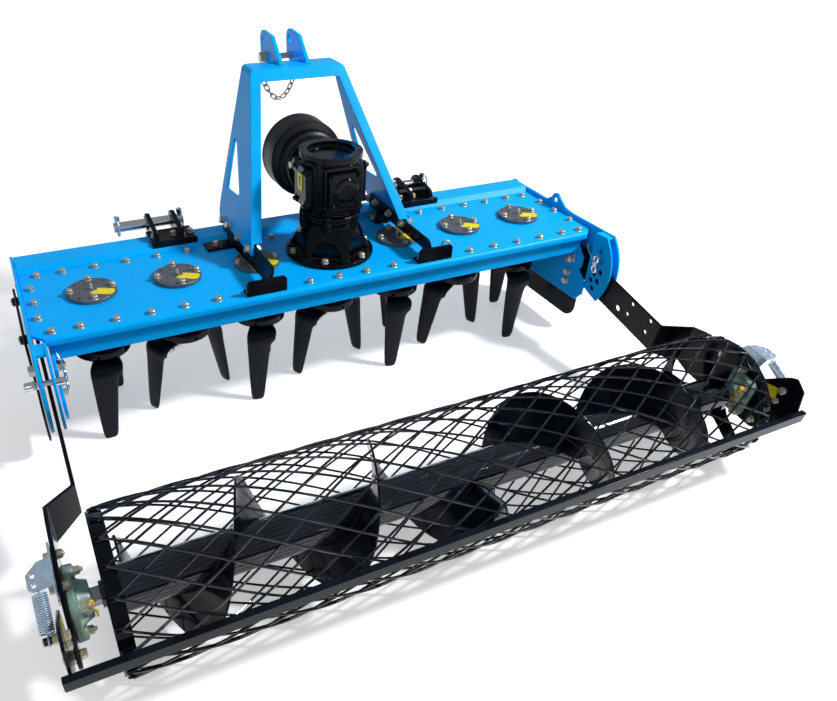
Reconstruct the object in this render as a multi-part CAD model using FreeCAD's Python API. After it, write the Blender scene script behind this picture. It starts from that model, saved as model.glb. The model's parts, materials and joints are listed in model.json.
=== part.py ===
"""Power harrow, 1.5 m working width, for a compact tractor.

Seven rotors hang under a flat gear trough, a bevel gearbox stands in the middle,
a headstock takes the three-point linkage, and a mesh roller on two arms follows.
Millimetres. +Z is up, +Y is the way the tractor pulls, +X is the machine's right.
The origin is on the floor under the middle of the machine's length and width.
"""
import FreeCAD, Part
import math
import os
from FreeCAD import Vector, Placement, Rotation

# Driving dimensions, seen from the axis line of the rotors (Y = 0 in the functions)
ROTOR_COUNT = 7
ROTOR_PITCH = 210.0
ROTOR_REST = (90.0, 28.0, 80.0, 28.0, 79.0, 28.0, 81.0)
DECK_TOP = 365.0          # height of the cover plate over the tine tips
DECK_MARGIN = 50.0        # cover plate past half a pitch outside the end rotors
DECK_FRONT = 157.0        # cover plate's front edge
DECK_REAR = -175.0        # cover plate's rear edge, outside its lip
PLATE = 8.0               # cover plate and side plates
ARM_THICK = 8.0
ROLLER_R = 158.0          # outside of the mesh
ARM_LENGTH = 601.0        # pivot to roller axis
MAST_TOP = 430.0          # headstock's top face over the cover plate
MAST_FOOT = 42.0          # lower ends of the headstock's legs
MAST_HALF_TOP = 131.0     # outside of the headstock at its top
MAST_HALF_FOOT = 236.5    # outside of the headstock at its foot
TINE_TIP_R = 109.0
PTO_HEIGHT = 202.0        # input shaft's axis over the cover plate

GAP = 0.3                 # seat gap between neighbouring pieces
HOLE_CLEAR = 0.2          # round a bolt or pin in a plate
RUN_CLEAR = 0.1           # round a bolt that something turns on
DECK_HALF = ROTOR_COUNT * ROTOR_PITCH / 2 + DECK_MARGIN

# Cover plate and trough
LIP_DROP = 20.0
LIP_R = 12.0
TROUGH_DEPTH = 67.0
TROUGH_WALL = 6.0
TROUGH_FRONT = 152.0
TROUGH_REAR = -160.0
SIDE_IN = DECK_HALF - 37.0    # inner face of the side plates
BEAM_FRONT = 243.0
BEAM_RISE = 14.0
BEAM_WALL = 6.0
BEAM_BEVEL = 15.0         # bevel between the cover plate and the beam's top

# Side of the machine, from the middle outwards
GUIDE_IN = DECK_HALF - 26.0
GUIDE_THICK = 7.0
ARM_IN = DECK_HALF - 14.0
ARM_REAR_IN = ARM_IN + 57.0   # behind the bend, at the roller
END_IN = DECK_HALF + 0.5
END_THICK = 8.0
END_RISE = 12.0
BOARD_SPACE = 5.0         # spacers between an end plate and its side board
BOARD_IN = END_IN + END_THICK + GAP + BOARD_SPACE
BOARD_THICK = 6.0
BOARD_LOW = -320.0

# Roller arms: pivot and the working position they are drawn in
PIVOT_Y = -143.0
PIVOT_Z = -93.0           # under the cover plate's top
PIVOT_R = 10.0
WORK_DROP = 40.0          # roller axis under the pivot in the working position
SECTOR_R = 153.0
EYE_R = 40.0
ARM_SWING = 16.0          # how far the arms hang down when the harrow is lifted, degrees
TAIL = 118.0              # arm ahead of its pivot
DEPTH_PIN_R = 8.0
PIN_ROW_R = 113.0         # outer row of depth pin holes about the pivot
PIN_ROW_STEP = 16.0       # degrees from hole to hole

# Rotors
HOUSING_R = 62.0
ROTOR_BORE_R = 32.0
HOUSING_Z = -128.0        # underside of a bearing housing
FLANGE_R = 71.0
FLANGE_TOP = -132.0
FLANGE_LOW = -158.0
TINE_THICK = 12.0

# Headstock
MAST_REAR_TOP = 216.0
MAST_REAR_FOOT = -40.0
MAST_FRONT_TOP = 285.0
MAST_FRONT_FOOT = 246.0
MAST_PLATE = 8.0
MAST_FLANGE = 28.0
CROSSBAR_DROP = 28.0
RAIL_TOP = 62.0           # rails on the cover plate that the legs are bolted to
RAIL_THICK = 8.0
FOOT_HALF = 52.0
CLEVIS_IN = 32.0
CLEVIS_THICK = 12.0
TOP_LINK_Y = 358.0
TOP_LINK_Z = 468.0
TOP_LINK_R = 9.75
TIE_BOLT_Y = 348.0
TIE_BOLT_Z = 428.0
TIE_BOLT_R = 8.0
NUT_R = 13.0
HITCH_X = (352.0, 420.0)
HITCH_PIN_Y = 276.0
HITCH_PIN_Z = 34.0
HITCH_PIN_R = 14.0
HITCH_EAR = 13.0
HITCH_PLATE = 8.0
COLLAR_R = 20.0
COLLAR_WIDTH = 4.0
PIN_SEAT = HITCH_X[1] + HITCH_EAR + GAP + COLLAR_WIDTH
HITCH_MIDDLE = (HITCH_X[0] + HITCH_X[1] + HITCH_EAR) / 2.0
PIN_END = 522.0

# Gearbox, input shaft and covers
BASE_R = 119.0
BASE_TOP = 112.0
HOUSING_BODY_R = 72.0
HOUSING_TOP = 280.0
TOP_RING_R = 82.0
HOUSING_BACK = -84.0
NECK_R = 58.0
NECK_FRONT = 112.0
NECK_COLLAR_R = 66.0
GUARD_CLEAR = 0.8
GUARD_R = 105.0
GUARD_FRONT = 225.0
PTO_R = 17.45
SHAFT_END = 205.0
COVER_R = 60.0
COVER_RISE = 12.0         # bearing covers over the cover plate

# Roller
TUBE_R = 45.0
MESH_THICK = 7.0
ROLLER_HALF = DECK_HALF - 18.0
RING_WIDTH = 28.0
RING_WALL = 6.0
FLIGHT_R = ROLLER_R - 20.0
FLIGHT_PITCH = 284.0      # way along the tube to a whole turn
FLIGHT_START = 157.0      # degrees round the tube where both flights begin in the middle
FLIGHT_STEPS = 18         # sections to a whole turn
FLIGHT_THICK = 5.0
BEARING_IN = ARM_REAR_IN - 38.0
BEARING_HALF = 54.0
STUB_R = 17.5

# Scraper, from the roller's axis in the working position
BAR_HALF = ARM_REAR_IN + 30.0
BAR_LEG = 30.0
BAR_THICK = 5.0
BAR_LIP = 9.0
BAR_BEHIND = ROLLER_R + 10.0
BAR_OVER = 57.0
SCRAPER_IN = ARM_REAR_IN + ARM_THICK + 5.0
SCRAPER_THICK = 6.0
SCRAPER_SWING = 20.0      # how far the scraper gives way to a stone, degrees
PIVOT_BEHIND = 79.0
PIVOT_UNDER = 39.0
SCRAPER_BOLT_R = 8.0
ANCHOR_BEHIND = 103.0
ANCHOR_OVER = 75.0
ANCHOR_R = 7.0
BRACKET_OVER = 118.0
BRACKET_THICK = 4.0
SPRING_R = 13.5
SPRING_BEHIND = 23.0

# What the driving dimensions give
PIVOT_HEIGHT = DECK_TOP + PIVOT_Z
WORK_ANGLE = math.degrees(math.asin(WORK_DROP / ARM_LENGTH))
PARK_ANGLE = math.degrees(math.asin((PIVOT_HEIGHT - ROLLER_R) / ARM_LENGTH))
ARM_DROP = PARK_ANGLE - WORK_ANGLE
WORK_ROLLER_Y = PIVOT_Y - math.sqrt(ARM_LENGTH ** 2 - WORK_DROP ** 2)
WORK_ROLLER_Z = PIVOT_Z - WORK_DROP
BEND_FRONT = WORK_ROLLER_Y + 236.0
BEND_REAR = WORK_ROLLER_Y + 181.0
SCRAPER_PIVOT_Y = WORK_ROLLER_Y - PIVOT_BEHIND
SCRAPER_PIVOT_Z = WORK_ROLLER_Z - PIVOT_UNDER
ANCHOR_Y = WORK_ROLLER_Y - ANCHOR_BEHIND
ANCHOR_Z = WORK_ROLLER_Z + ANCHOR_OVER
BAR_Y = WORK_ROLLER_Y - BAR_BEHIND
BAR_Z = WORK_ROLLER_Z + BAR_OVER
BRACKET_TOP = WORK_ROLLER_Z + BRACKET_OVER
MAST_LEAN = math.degrees(math.atan2(MAST_HALF_FOOT - MAST_HALF_TOP, MAST_TOP - MAST_FOOT))


def up(z):
    """Height over the floor of a height over the cover plate's top."""
    return DECK_TOP + z


def box(x0, x1, y0, y1, z0, z1):
    low = Vector(min(x0, x1), min(y0, y1), min(z0, z1))
    return Part.makeBox(abs(x1 - x0), abs(y1 - y0), abs(z1 - z0), low)


def cyl(radius, start, end):
    """Round bar of one radius from point to point."""
    a = Vector(*start)
    b = Vector(*end)
    return Part.makeCylinder(radius, (b - a).Length, a, b - a)


def cone(r0, r1, start, end):
    a = Vector(*start)
    b = Vector(*end)
    return Part.makeCone(r0, r1, (b - a).Length, a, b - a)


def face(points):
    loop = [Vector(*p) for p in points]
    return Part.Face(Part.makePolygon(loop + [loop[0]]))


def plate_x(outline, x0, x1):
    """Plate across X: outline of (y, height over the cover plate)."""
    flat = face([(x0, y, up(z)) for y, z in outline])
    return flat.extrude(Vector(x1 - x0, 0, 0))


def plate_y(outline, y0, y1):
    """Plate across Y: outline of (x, height over the cover plate)."""
    flat = face([(x, y0, up(z)) for x, z in outline])
    return flat.extrude(Vector(0, y1 - y0, 0))


def plate_z(outline, z0, z1):
    """Plate across Z: outline of (x, y), heights over the cover plate."""
    flat = face([(x, y, up(z0)) for x, y in outline])
    return flat.extrude(Vector(0, 0, z1 - z0))


def arc(centre, radius, start, end, steps):
    """Points on an arc in degrees, both ends included."""
    points = []
    for i in range(steps + 1):
        angle = math.radians(start + (end - start) * i / steps)
        points.append((centre[0] + radius * math.cos(angle), centre[1] + radius * math.sin(angle)))
    return points


def join(shapes):
    whole = shapes[0]
    for shape in shapes[1:]:
        whole = whole.fuse(shape)
    return whole.removeSplitter()


def cut(shape, holes):
    for hole in holes:
        shape = shape.cut(hole)
    return shape


def rounded(shape, radius, chosen):
    """Fillet the edges that the test picks."""
    edges = [edge for edge in shape.Edges if chosen(edge)]
    return shape.makeFillet(radius, edges) if edges else shape


def along(edge, axis):
    """Whether a straight edge runs along a row axis."""
    if len(edge.Vertexes) < 2:
        return False
    way = edge.Vertexes[1].Point.sub(edge.Vertexes[0].Point)
    return way.Length > 0.01 and abs(abs(way.normalize().dot(axis)) - 1.0) < 1e-6


def mirrored(shape):
    return shape.mirror(Vector(0, 0, 0), Vector(1, 0, 0))


def both_sides(shape):
    """The piece on the right and its twin on the left, which don't touch."""
    return Part.makeCompound([shape, mirrored(shape)])


def turned(shape, centre, axis, degrees):
    copy = shape.copy()
    copy.rotate(Vector(*centre), Vector(*axis), degrees)
    return copy


def parked(shape):
    """Lower a piece of the roller frame from the working to the parked position."""
    return turned(shape, (0, PIVOT_Y, PIVOT_HEIGHT), (1, 0, 0), ARM_DROP)


def at_axle(points):
    """Points given from the roller's axis in the working position, as (y, height)."""
    return [(WORK_ROLLER_Y + y, WORK_ROLLER_Z + z) for y, z in points]


def rotor_x(number):
    return (number - (ROTOR_COUNT + 1) / 2.0) * ROTOR_PITCH


# ---------------------------------------------------------------- deck

def gear_trough():
    """Open pan with flanges all round, which the cover plate closes."""
    low = -TROUGH_DEPTH
    top = -PLATE - GAP
    pan = box(-SIDE_IN + GAP, SIDE_IN - GAP, TROUGH_REAR, TROUGH_FRONT, up(low), up(top))
    hollow = box(-SIDE_IN + TROUGH_WALL, SIDE_IN - TROUGH_WALL,
                 TROUGH_REAR + TROUGH_WALL, TROUGH_FRONT - TROUGH_WALL, up(low + TROUGH_WALL), up(0))
    flange_in = 34.0
    flange = box(-SIDE_IN + GAP, SIDE_IN - GAP, TROUGH_REAR, TROUGH_FRONT, up(top - TROUGH_WALL), up(top))
    mouth = box(-SIDE_IN + flange_in, SIDE_IN - flange_in,
                TROUGH_REAR + flange_in, TROUGH_FRONT - flange_in, up(low), up(0))
    return pan.cut(hollow).fuse(flange.cut(mouth)).removeSplitter()


def deck_cover():
    """Cover plate whose rear edge is folded down into a rounded lip."""
    top = box(-DECK_HALF, DECK_HALF, DECK_REAR, DECK_FRONT, up(-PLATE), up(0))
    lip = box(-DECK_HALF, DECK_HALF, DECK_REAR, DECK_REAR + PLATE, up(-LIP_DROP), up(0))
    plate = top.fuse(lip).removeSplitter()
    plate = rounded(plate, LIP_R, lambda e: along(e, Vector(1, 0, 0))
                    and abs(e.CenterOfMass.y - DECK_REAR) < 0.1 and abs(e.CenterOfMass.z - up(0)) < 0.1)
    corner = 28.0
    for side in (-1, 1):
        tip = [(side * (DECK_HALF + 1), DECK_REAR - 1), (side * (DECK_HALF - corner), DECK_REAR - 1),
               (side * (DECK_HALF + 1), DECK_REAR + corner)]
        plate = plate.cut(plate_z(tip, -40, 5))
    return plate


def beam_outline(wall):
    """Cross-section of the front beam, the given distance inside its outer face."""
    rear = DECK_FRONT + GAP + wall
    low = -TROUGH_DEPTH + wall
    front = BEAM_FRONT - wall
    return [(rear, low), (front, low), (front, BEAM_RISE - wall),
            (rear + BEAM_BEVEL - wall / 2, BEAM_RISE - wall), (rear, -wall / 2)]


def front_beam():
    """Folded tube along the front, a bevelled step higher than the cover plate."""
    tube = plate_x(beam_outline(0.0), -DECK_HALF, DECK_HALF)
    tube = rounded(tube, 10.0, lambda e: along(e, Vector(1, 0, 0)) and (
        e.CenterOfMass.y > BEAM_FRONT - 1 or e.CenterOfMass.z < up(-TROUGH_DEPTH + 1)))
    return tube.cut(plate_x(beam_outline(BEAM_WALL), -DECK_HALF - 1, DECK_HALF + 1))


def side_plates():
    """Plates under both ends of the cover plate, which carry the arm pivots."""
    outline = [(TROUGH_FRONT, -PLATE - GAP), (TROUGH_FRONT, -178.0), (118.0, -217.0), (-190.0, -214.0),
               (-213.0, -186.0), (-213.0, -146.0), (-178.0, -118.0), (-187.0, -106.0), (-187.0, -76.0),
               (-158.0, -48.0), (-158.0, -PLATE - GAP)]
    plate = plate_x(outline, SIDE_IN, SIDE_IN + PLATE)
    start = (SIDE_IN - 5, PIVOT_Y, PIVOT_HEIGHT)
    bolt = cyl(PIVOT_R + HOLE_CLEAR, start, (SIDE_IN + 20, PIVOT_Y, PIVOT_HEIGHT))
    return both_sides(plate.cut(bolt))


def side_boards():
    """Black boards on spacers outside the end plates, which hold back the soil."""
    end_r = 42.0
    front = 150.0
    rear = -147.0
    neck = -96.0
    outline = [(front, -30.0), (neck, -30.0), (neck, BOARD_LOW + 126.0)]
    outline += arc((rear + end_r, BOARD_LOW + 84.0), end_r, 90, 180, 6)
    outline += arc((rear + end_r, BOARD_LOW + end_r), end_r, 180, 270, 8)
    outline += [(front - 45.0, BOARD_LOW), (front, BOARD_LOW + 45.0)]
    board = plate_x(outline, BOARD_IN, BOARD_IN + BOARD_THICK)
    spacers = []
    for y, z in ((neck + 26.0, -52.0), (front - 30.0, -52.0)):
        spacers.append(cyl(11.0, (BOARD_IN - BOARD_SPACE, y, up(z)), (BOARD_IN + BOARD_THICK + 7.0, y, up(z))))
    return both_sides(join([board] + spacers))


def sector_front():
    """Where the guide plates start behind the side plates."""
    return PIVOT_Y - 62.0


def guide_outline(front):
    """Guide plate behind the pivot: a sector about it, with a straight front."""
    outline = [(front, END_RISE)]
    outline += arc((PIVOT_Y, PIVOT_Z), SECTOR_R, 135.0, 217.0, 12)
    outline += [(front, PIVOT_Z - 72.0)]
    return outline


def guide_holes(x0, x1):
    """Two staggered rows of holes for the depth pin, and a small hole at the front."""
    pin_y, pin_z = depth_pin_centre()
    first = math.degrees(math.atan2(pin_z - PIVOT_Z, pin_y - PIVOT_Y))
    spots = arc((PIVOT_Y, PIVOT_Z), PIN_ROW_R, first - PIN_ROW_STEP, first + 3 * PIN_ROW_STEP, 4)
    half_step = first + PIN_ROW_STEP / 2
    spots += arc((PIVOT_Y, PIVOT_Z), PIN_ROW_R - 21.0, half_step, half_step + 2 * PIN_ROW_STEP, 2)
    holes = [cyl(DEPTH_PIN_R + 0.5, (x0, y, up(z)), (x1, y, up(z))) for y, z in spots]
    small = (PIVOT_Y - 56.0, PIVOT_Z + 65.0)
    holes.append(cyl(5.0, (x0, small[0], up(small[1])), (x1, small[0], up(small[1]))))
    return holes


def end_plate():
    """Outer end plate with its rear guide folded round the roller arm."""
    ear_y = 20.0
    outline = [(252.0, 6.0), (236.0, END_RISE + 4.0), (218.0, END_RISE)]
    outline += [(62.0, END_RISE)]
    outline += arc((ear_y, 26.0), 19.0, 10.0, 150.0, 8)
    outline += arc((-44.0, 60.0), 46.0, -50.0, -90.0, 6)
    outline += [(-70.0, END_RISE)]
    outline += arc((PIVOT_Y, PIVOT_Z), SECTOR_R, 135.0, 217.0, 12)
    outline += [(-205.0, PIVOT_Z - 72.0), (-150.0, PIVOT_Z - 56.0), (-90.0, PIVOT_Z - 56.0),
                (60.0, -TROUGH_DEPTH - 22.0), (218.0, -TROUGH_DEPTH - 10.0), (252.0, -TROUGH_DEPTH + 24.0)]
    outer = plate_x(outline, END_IN, END_IN + END_THICK)
    front = sector_front()
    guide = plate_x(guide_outline(front), GUIDE_IN, GUIDE_IN + GUIDE_THICK)
    fold = box(GUIDE_IN, END_IN + END_THICK, front, PIVOT_Y + SECTOR_R * math.cos(math.radians(135.0)),
               up(END_RISE - END_THICK), up(END_RISE))
    whole = outer.fuse(guide).fuse(fold).removeSplitter()
    low_x = GUIDE_IN - 5
    high_x = END_IN + END_THICK + 5
    whole = cut(whole, guide_holes(low_x, high_x))
    ear_hole = cyl(8.0, (low_x, ear_y, up(24.0)), (high_x, ear_y, up(24.0)))
    pivot = cyl(PIVOT_R + HOLE_CLEAR, (low_x, PIVOT_Y, PIVOT_HEIGHT), (high_x, PIVOT_Y, PIVOT_HEIGHT))
    return cut(whole, [ear_hole, pivot])


def arm_pivot_bolts():
    """Bolts that the roller arms turn on, with their heads and nuts."""
    inside = SIDE_IN - 15.0
    outside = END_IN + END_THICK + GAP
    head_r = PIVOT_R + 6.0
    shank = cyl(PIVOT_R, (inside, PIVOT_Y, PIVOT_HEIGHT), (outside + 14.0, PIVOT_Y, PIVOT_HEIGHT))
    nut = cyl(head_r, (inside, PIVOT_Y, PIVOT_HEIGHT), (SIDE_IN - GAP, PIVOT_Y, PIVOT_HEIGHT))
    head = cyl(head_r, (outside, PIVOT_Y, PIVOT_HEIGHT), (outside + 12.0, PIVOT_Y, PIVOT_HEIGHT))
    return both_sides(join([shank, nut, head]))


def depth_pin_centre():
    """Hole of the outer row that lies on the arm in the working position: (y, height)."""
    top = arm_top_edge()
    way = Vector(top[2][0] - top[1][0], top[2][1] - top[1][1], 0).normalize()
    lift = DEPTH_PIN_R + GAP
    start = Vector(top[1][0] - PIVOT_Y + way.y * lift, top[1][1] - PIVOT_Z - way.x * lift, 0)
    back = start.dot(way)
    reach = -back + math.sqrt(back ** 2 + PIN_ROW_R ** 2 - start.dot(start))
    return (PIVOT_Y + start.x + way.x * reach, PIVOT_Z + start.y + way.y * reach)


def depth_pins():
    """Pins through the guides, which the roller arms push up against."""
    y, z = depth_pin_centre()
    inside = GUIDE_IN - 26.0
    outside = END_IN + END_THICK + 30.0
    shank = cyl(DEPTH_PIN_R, (inside, y, up(z)), (outside, y, up(z)))
    head = cyl(DEPTH_PIN_R + 4.0, (outside - 20.0, y, up(z)), (outside, y, up(z)))
    grip = cyl(4.0, (inside + 4.0, y, up(z) - 26.0), (inside + 4.0, y, up(z) + 26.0))
    return both_sides(join([shank, head, grip]))


# ---------------------------------------------------------------- headstock

def mast_x(z):
    """Outside of a headstock leg at a height over the cover plate."""
    return MAST_HALF_TOP + (MAST_TOP - z) * math.tan(math.radians(MAST_LEAN))


def rear_y(z):
    """Rear edge of a headstock leg at a height over the cover plate."""
    share = (MAST_TOP - z) / (MAST_TOP - MAST_FOOT)
    return MAST_REAR_TOP + (MAST_REAR_FOOT - MAST_REAR_TOP) * share


def front_y(z):
    share = (MAST_TOP - z) / (MAST_TOP - MAST_FOOT)
    return MAST_FRONT_TOP + (MAST_FRONT_FOOT - MAST_FRONT_TOP) * share


def leaning_slab(inset, thickness):
    """Slab in the plane of a leg, the given distance inside its outer face."""
    low = -60.0
    high = MAST_TOP + 60.0
    outer_low = mast_x(low) - inset
    outer_high = mast_x(high) - inset
    return plate_y([(outer_low, low), (outer_high, high), (outer_high - thickness, high),
                    (outer_low - thickness, low)], -300.0, 400.0)


def mast_leg():
    """Leg of the headstock: tapered web with a window, and a rear flange."""
    shape = [(rear_y(MAST_TOP), MAST_TOP), (front_y(MAST_TOP), MAST_TOP),
             (front_y(MAST_FOOT + 42.0), MAST_FOOT + 42.0), (front_y(MAST_FOOT + 18.0) - 4.0, MAST_FOOT + 18.0),
             (front_y(MAST_FOOT) - 16.0, MAST_FOOT), (rear_y(MAST_FOOT), MAST_FOOT)]
    web = plate_x(shape, 0.0, 400.0).common(leaning_slab(0.0, MAST_PLATE))
    flange_low = RAIL_TOP + 4.0
    flange_side = [(rear_y(MAST_TOP), MAST_TOP), (rear_y(MAST_TOP) + MAST_PLATE, MAST_TOP),
                   (rear_y(flange_low) + MAST_PLATE, flange_low), (rear_y(flange_low), flange_low)]
    flange = plate_x(flange_side, 0.0, 400.0).common(leaning_slab(0.0, MAST_FLANGE))
    leg = web.fuse(flange).removeSplitter()
    window = plate_x([(219.0, 127.0), (236.0, 244.0), (230.0, 256.0), (218.0, 254.0), (206.0, 242.0),
                      (126.0, 146.0), (130.0, 134.0)], 0.0, 400.0)
    leg = leg.cut(window)
    cap = box(0, 400, -300, 400, up(MAST_TOP - MAST_PLATE - GAP), up(MAST_TOP + 50))
    return leg.cut(cap)


def mast_crossbar():
    """Top of the headstock: plate with a rear flange, folded to a round edge."""
    half = mast_x(MAST_TOP)
    low = MAST_TOP - MAST_PLATE
    top = plate_y([(-half, MAST_TOP), (half, MAST_TOP), (mast_x(low), low), (-mast_x(low), low)],
                  rear_y(MAST_TOP), front_y(MAST_TOP))
    inner = mast_x(low) - MAST_FLANGE - GAP * 2
    drop = MAST_TOP - CROSSBAR_DROP
    flange = plate_x([(rear_y(MAST_TOP), MAST_TOP), (rear_y(MAST_TOP) + MAST_PLATE, MAST_TOP),
                      (rear_y(drop) + MAST_PLATE, drop), (rear_y(drop), drop)], -inner, inner)
    return top.fuse(flange).removeSplitter()


def top_link_plates():
    """Two plates on the crossbar that take the tractor's top link."""
    front = front_y(MAST_TOP) + GAP
    seat = MAST_TOP + GAP
    low = TIE_BOLT_Z - 22.0
    outline = [(235.0, seat), (front, seat), (front, low), (TIE_BOLT_Y + 8.0, low), (383.0, TIE_BOLT_Z)]
    outline += arc((TOP_LINK_Y, TOP_LINK_Z), 26.0, -10.0, 80.0, 6)
    outline += arc((302.0, TOP_LINK_Z + 8.0), 14.0, 90.0, 155.0, 4)
    plate = plate_x(outline, CLEVIS_IN, CLEVIS_IN + CLEVIS_THICK)
    holes = [cyl(TOP_LINK_R, (0, TOP_LINK_Y, up(TOP_LINK_Z)), (100, TOP_LINK_Y, up(TOP_LINK_Z))),
             cyl(TIE_BOLT_R + HOLE_CLEAR, (0, TIE_BOLT_Y, up(TIE_BOLT_Z)), (100, TIE_BOLT_Y, up(TIE_BOLT_Z)))]
    return both_sides(cut(plate, holes))


def top_link_bolt():
    """Bolt that ties the two top link plates together."""
    y = TIE_BOLT_Y
    z = up(TIE_BOLT_Z)
    outside = CLEVIS_IN + CLEVIS_THICK + GAP
    shank = cyl(TIE_BOLT_R, (-outside - 9, y, z), (outside + 12, y, z))
    head = cyl(NUT_R, (-outside - 9, y, z), (-outside, y, z))
    nut = cyl(NUT_R, (outside, y, z), (outside + 12, y, z))
    return join([shank, head, nut])


def mast_rails():
    """Rails on the cover plate, inside the legs, that the headstock is bolted to."""
    arch = COVER_RISE + 5.0
    side = [(212.0, BEAM_RISE + GAP), (212.0, 44.0), (190.0, RAIL_TOP),
            (-150.0, RAIL_TOP), (-158.0, RAIL_TOP - 10),
            (-158.0, GAP), (-116.0, GAP), (-108.0, arch), (94.0, arch), (102.0, GAP),
            (DECK_FRONT, GAP), (DECK_FRONT + BEAM_BEVEL, BEAM_RISE + GAP)]
    web = plate_x(side, 0.0, 400.0).common(leaning_slab(MAST_PLATE + GAP, RAIL_THICK))
    x_low = mast_x(0) - MAST_PLATE
    foot = box(x_low - 44.0, x_low + 70.0, 107.0, 155.0, up(GAP), up(GAP + 7.0))
    gusset = box(x_low - 38.0, x_low - RAIL_THICK, 107.0, 113.0, up(GAP), up(40.0))
    return both_sides(join([web, foot, gusset]))


def mast_rear_feet():
    """Angle brackets at the rear ends of the rails."""
    middle = mast_x(20.0) - 3.0
    y_face = -166.0
    half = FOOT_HALF
    cut_half = half - 7.0
    outline = [(middle - half, GAP), (middle + half, GAP), (middle + half, 33.0), (middle + cut_half, 41.0),
               (middle - cut_half, 41.0), (middle - half, 33.0)]
    upright = plate_y(outline, y_face, y_face + 6.0)
    foot = box(middle - half, middle - 12, y_face, y_face + 34.0, up(GAP), up(GAP + 6.0))
    other = box(middle + 12, middle + half, y_face, y_face + 34.0, up(GAP), up(GAP + 6.0))
    return both_sides(join([upright, foot, other]))


def hitch_bracket():
    """Clamp on the front beam with two ears for the lower link pin."""
    x0 = HITCH_X[0] - 32.0
    x1 = HITCH_X[1] + HITCH_EAR + 10.0
    seat = BEAM_RISE + GAP
    step = DECK_FRONT + BEAM_BEVEL
    front = BEAM_FRONT + GAP
    clamp = [(front, -TROUGH_DEPTH), (front, seat), (step, seat), (step - 8.0, seat - 7.0), (step - 8.0, 26.0),
             (step - 1.0, 26.0), (step - 1.0, seat + HITCH_PLATE), (front + HITCH_PLATE, seat + HITCH_PLATE),
             (front + HITCH_PLATE, -TROUGH_DEPTH)]
    outline = [(step + 4.0, seat + 4.0), (step + 14.0, 44.0)]
    outline += list(reversed(arc((HITCH_PIN_Y, HITCH_PIN_Z), 27.0, -60.0, 100.0, 8)))
    outline += [(front + 4.0, -50.0), (front + 4.0, seat + 4.0)]
    ears = [plate_x(outline, x, x + HITCH_EAR) for x in HITCH_X]
    hole = cyl(HITCH_PIN_R + HOLE_CLEAR, (x0, HITCH_PIN_Y, up(HITCH_PIN_Z)), (x1, HITCH_PIN_Y, up(HITCH_PIN_Z)))
    return join([plate_x(clamp, x0, x1)] + ears).cut(hole)


def lower_link_pins():
    """Pins that the tractor's lower links hang on. Both stand out to the machine's left of their ears."""
    inside = HITCH_X[0] - 22.0
    outside = HITCH_X[1] + HITCH_EAR + GAP
    pin = cyl(HITCH_PIN_R, (inside, HITCH_PIN_Y, up(HITCH_PIN_Z)), (PIN_END, HITCH_PIN_Y, up(HITCH_PIN_Z)))
    collar = cyl(COLLAR_R, (outside, HITCH_PIN_Y, up(HITCH_PIN_Z)), (PIN_SEAT, HITCH_PIN_Y, up(HITCH_PIN_Z)))
    one = join([pin, collar])
    left = one.mirror(Vector(0, 0, 0), Vector(1, 0, 0))
    right = one.mirror(Vector(HITCH_MIDDLE, 0, 0), Vector(1, 0, 0))
    return Part.makeCompound([right, left])


# ---------------------------------------------------------------- gearbox

def gearbox_base():
    """Ribbed cone that stands on the cover plate."""
    plate = cyl(BASE_R, (0, 0, up(GAP)), (0, 0, up(14.0)))
    cone_top = BASE_TOP - 8.0
    body = cone(100.0, 66.0, (0, 0, up(12.0)), (0, 0, up(cone_top)))
    rib = face([(60.0, -4.0, up(12.0)), (112.0, -4.0, up(12.0)), (108.0, -4.0, up(22.0)),
                (70.0, -4.0, up(cone_top)), (60.0, -4.0, up(cone_top))]).extrude(Vector(0, 8.0, 0))
    ribs = [turned(rib, (0, 0, 0), (0, 0, 1), 22.5 + 45.0 * k) for k in range(8)]
    collar = cyl(76.0, (0, 0, up(BASE_TOP - 16.0)), (0, 0, up(BASE_TOP)))
    return join([plate, body, collar] + ribs)


def gearbox_housing():
    """Upright housing with side pads, a front neck and an open ring on top."""
    low = BASE_TOP + GAP
    body = cyl(HOUSING_BODY_R, (0, 0, up(low)), (0, 0, up(HOUSING_TOP - 14.0)))
    ring = cyl(TOP_RING_R, (0, 0, up(HOUSING_TOP - 16.0)), (0, 0, up(HOUSING_TOP)))
    collar = cyl(80.0, (0, 0, up(low)), (0, 0, up(124.0)))
    pads = box(-84.0, 84.0, -40.0, 40.0, up(142.0), up(250.0))
    pads = rounded(pads, 8.0, lambda e: along(e, Vector(1, 0, 0)))
    back = box(-52.0, 52.0, HOUSING_BACK, 0.0, up(140.0), up(262.0))
    back = rounded(back, 10.0, lambda e: along(e, Vector(0, 1, 0)))
    neck = cyl(NECK_R, (0, 0, up(PTO_HEIGHT)), (0, NECK_FRONT, up(PTO_HEIGHT)))
    collar_front = cyl(NECK_COLLAR_R, (0, NECK_FRONT - 20.0, up(PTO_HEIGHT)), (0, NECK_FRONT, up(PTO_HEIGHT)))
    recess = cyl(60.0, (0, 0, up(HOUSING_TOP - 12.0)), (0, 0, up(HOUSING_TOP + 1.0)))
    bore = cyl(PTO_R + GAP, (0, 96.0, up(PTO_HEIGHT)), (0, 120.0, up(PTO_HEIGHT)))
    return cut(join([body, ring, collar, pads, back, neck, collar_front]), [recess, bore])


def gearbox_rear_cover():
    """Square cover with a round boss on the back of the gearbox."""
    face_y = HOUSING_BACK - GAP
    cover = box(-45.0, 45.0, face_y - 12.0, face_y, up(154.0), up(250.0))
    cover = rounded(cover, 14.0, lambda e: along(e, Vector(0, 1, 0)))
    boss = cyl(33.0, (0, face_y - 17.0, up(PTO_HEIGHT)), (0, face_y, up(PTO_HEIGHT)))
    return join([cover, boss])


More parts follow.
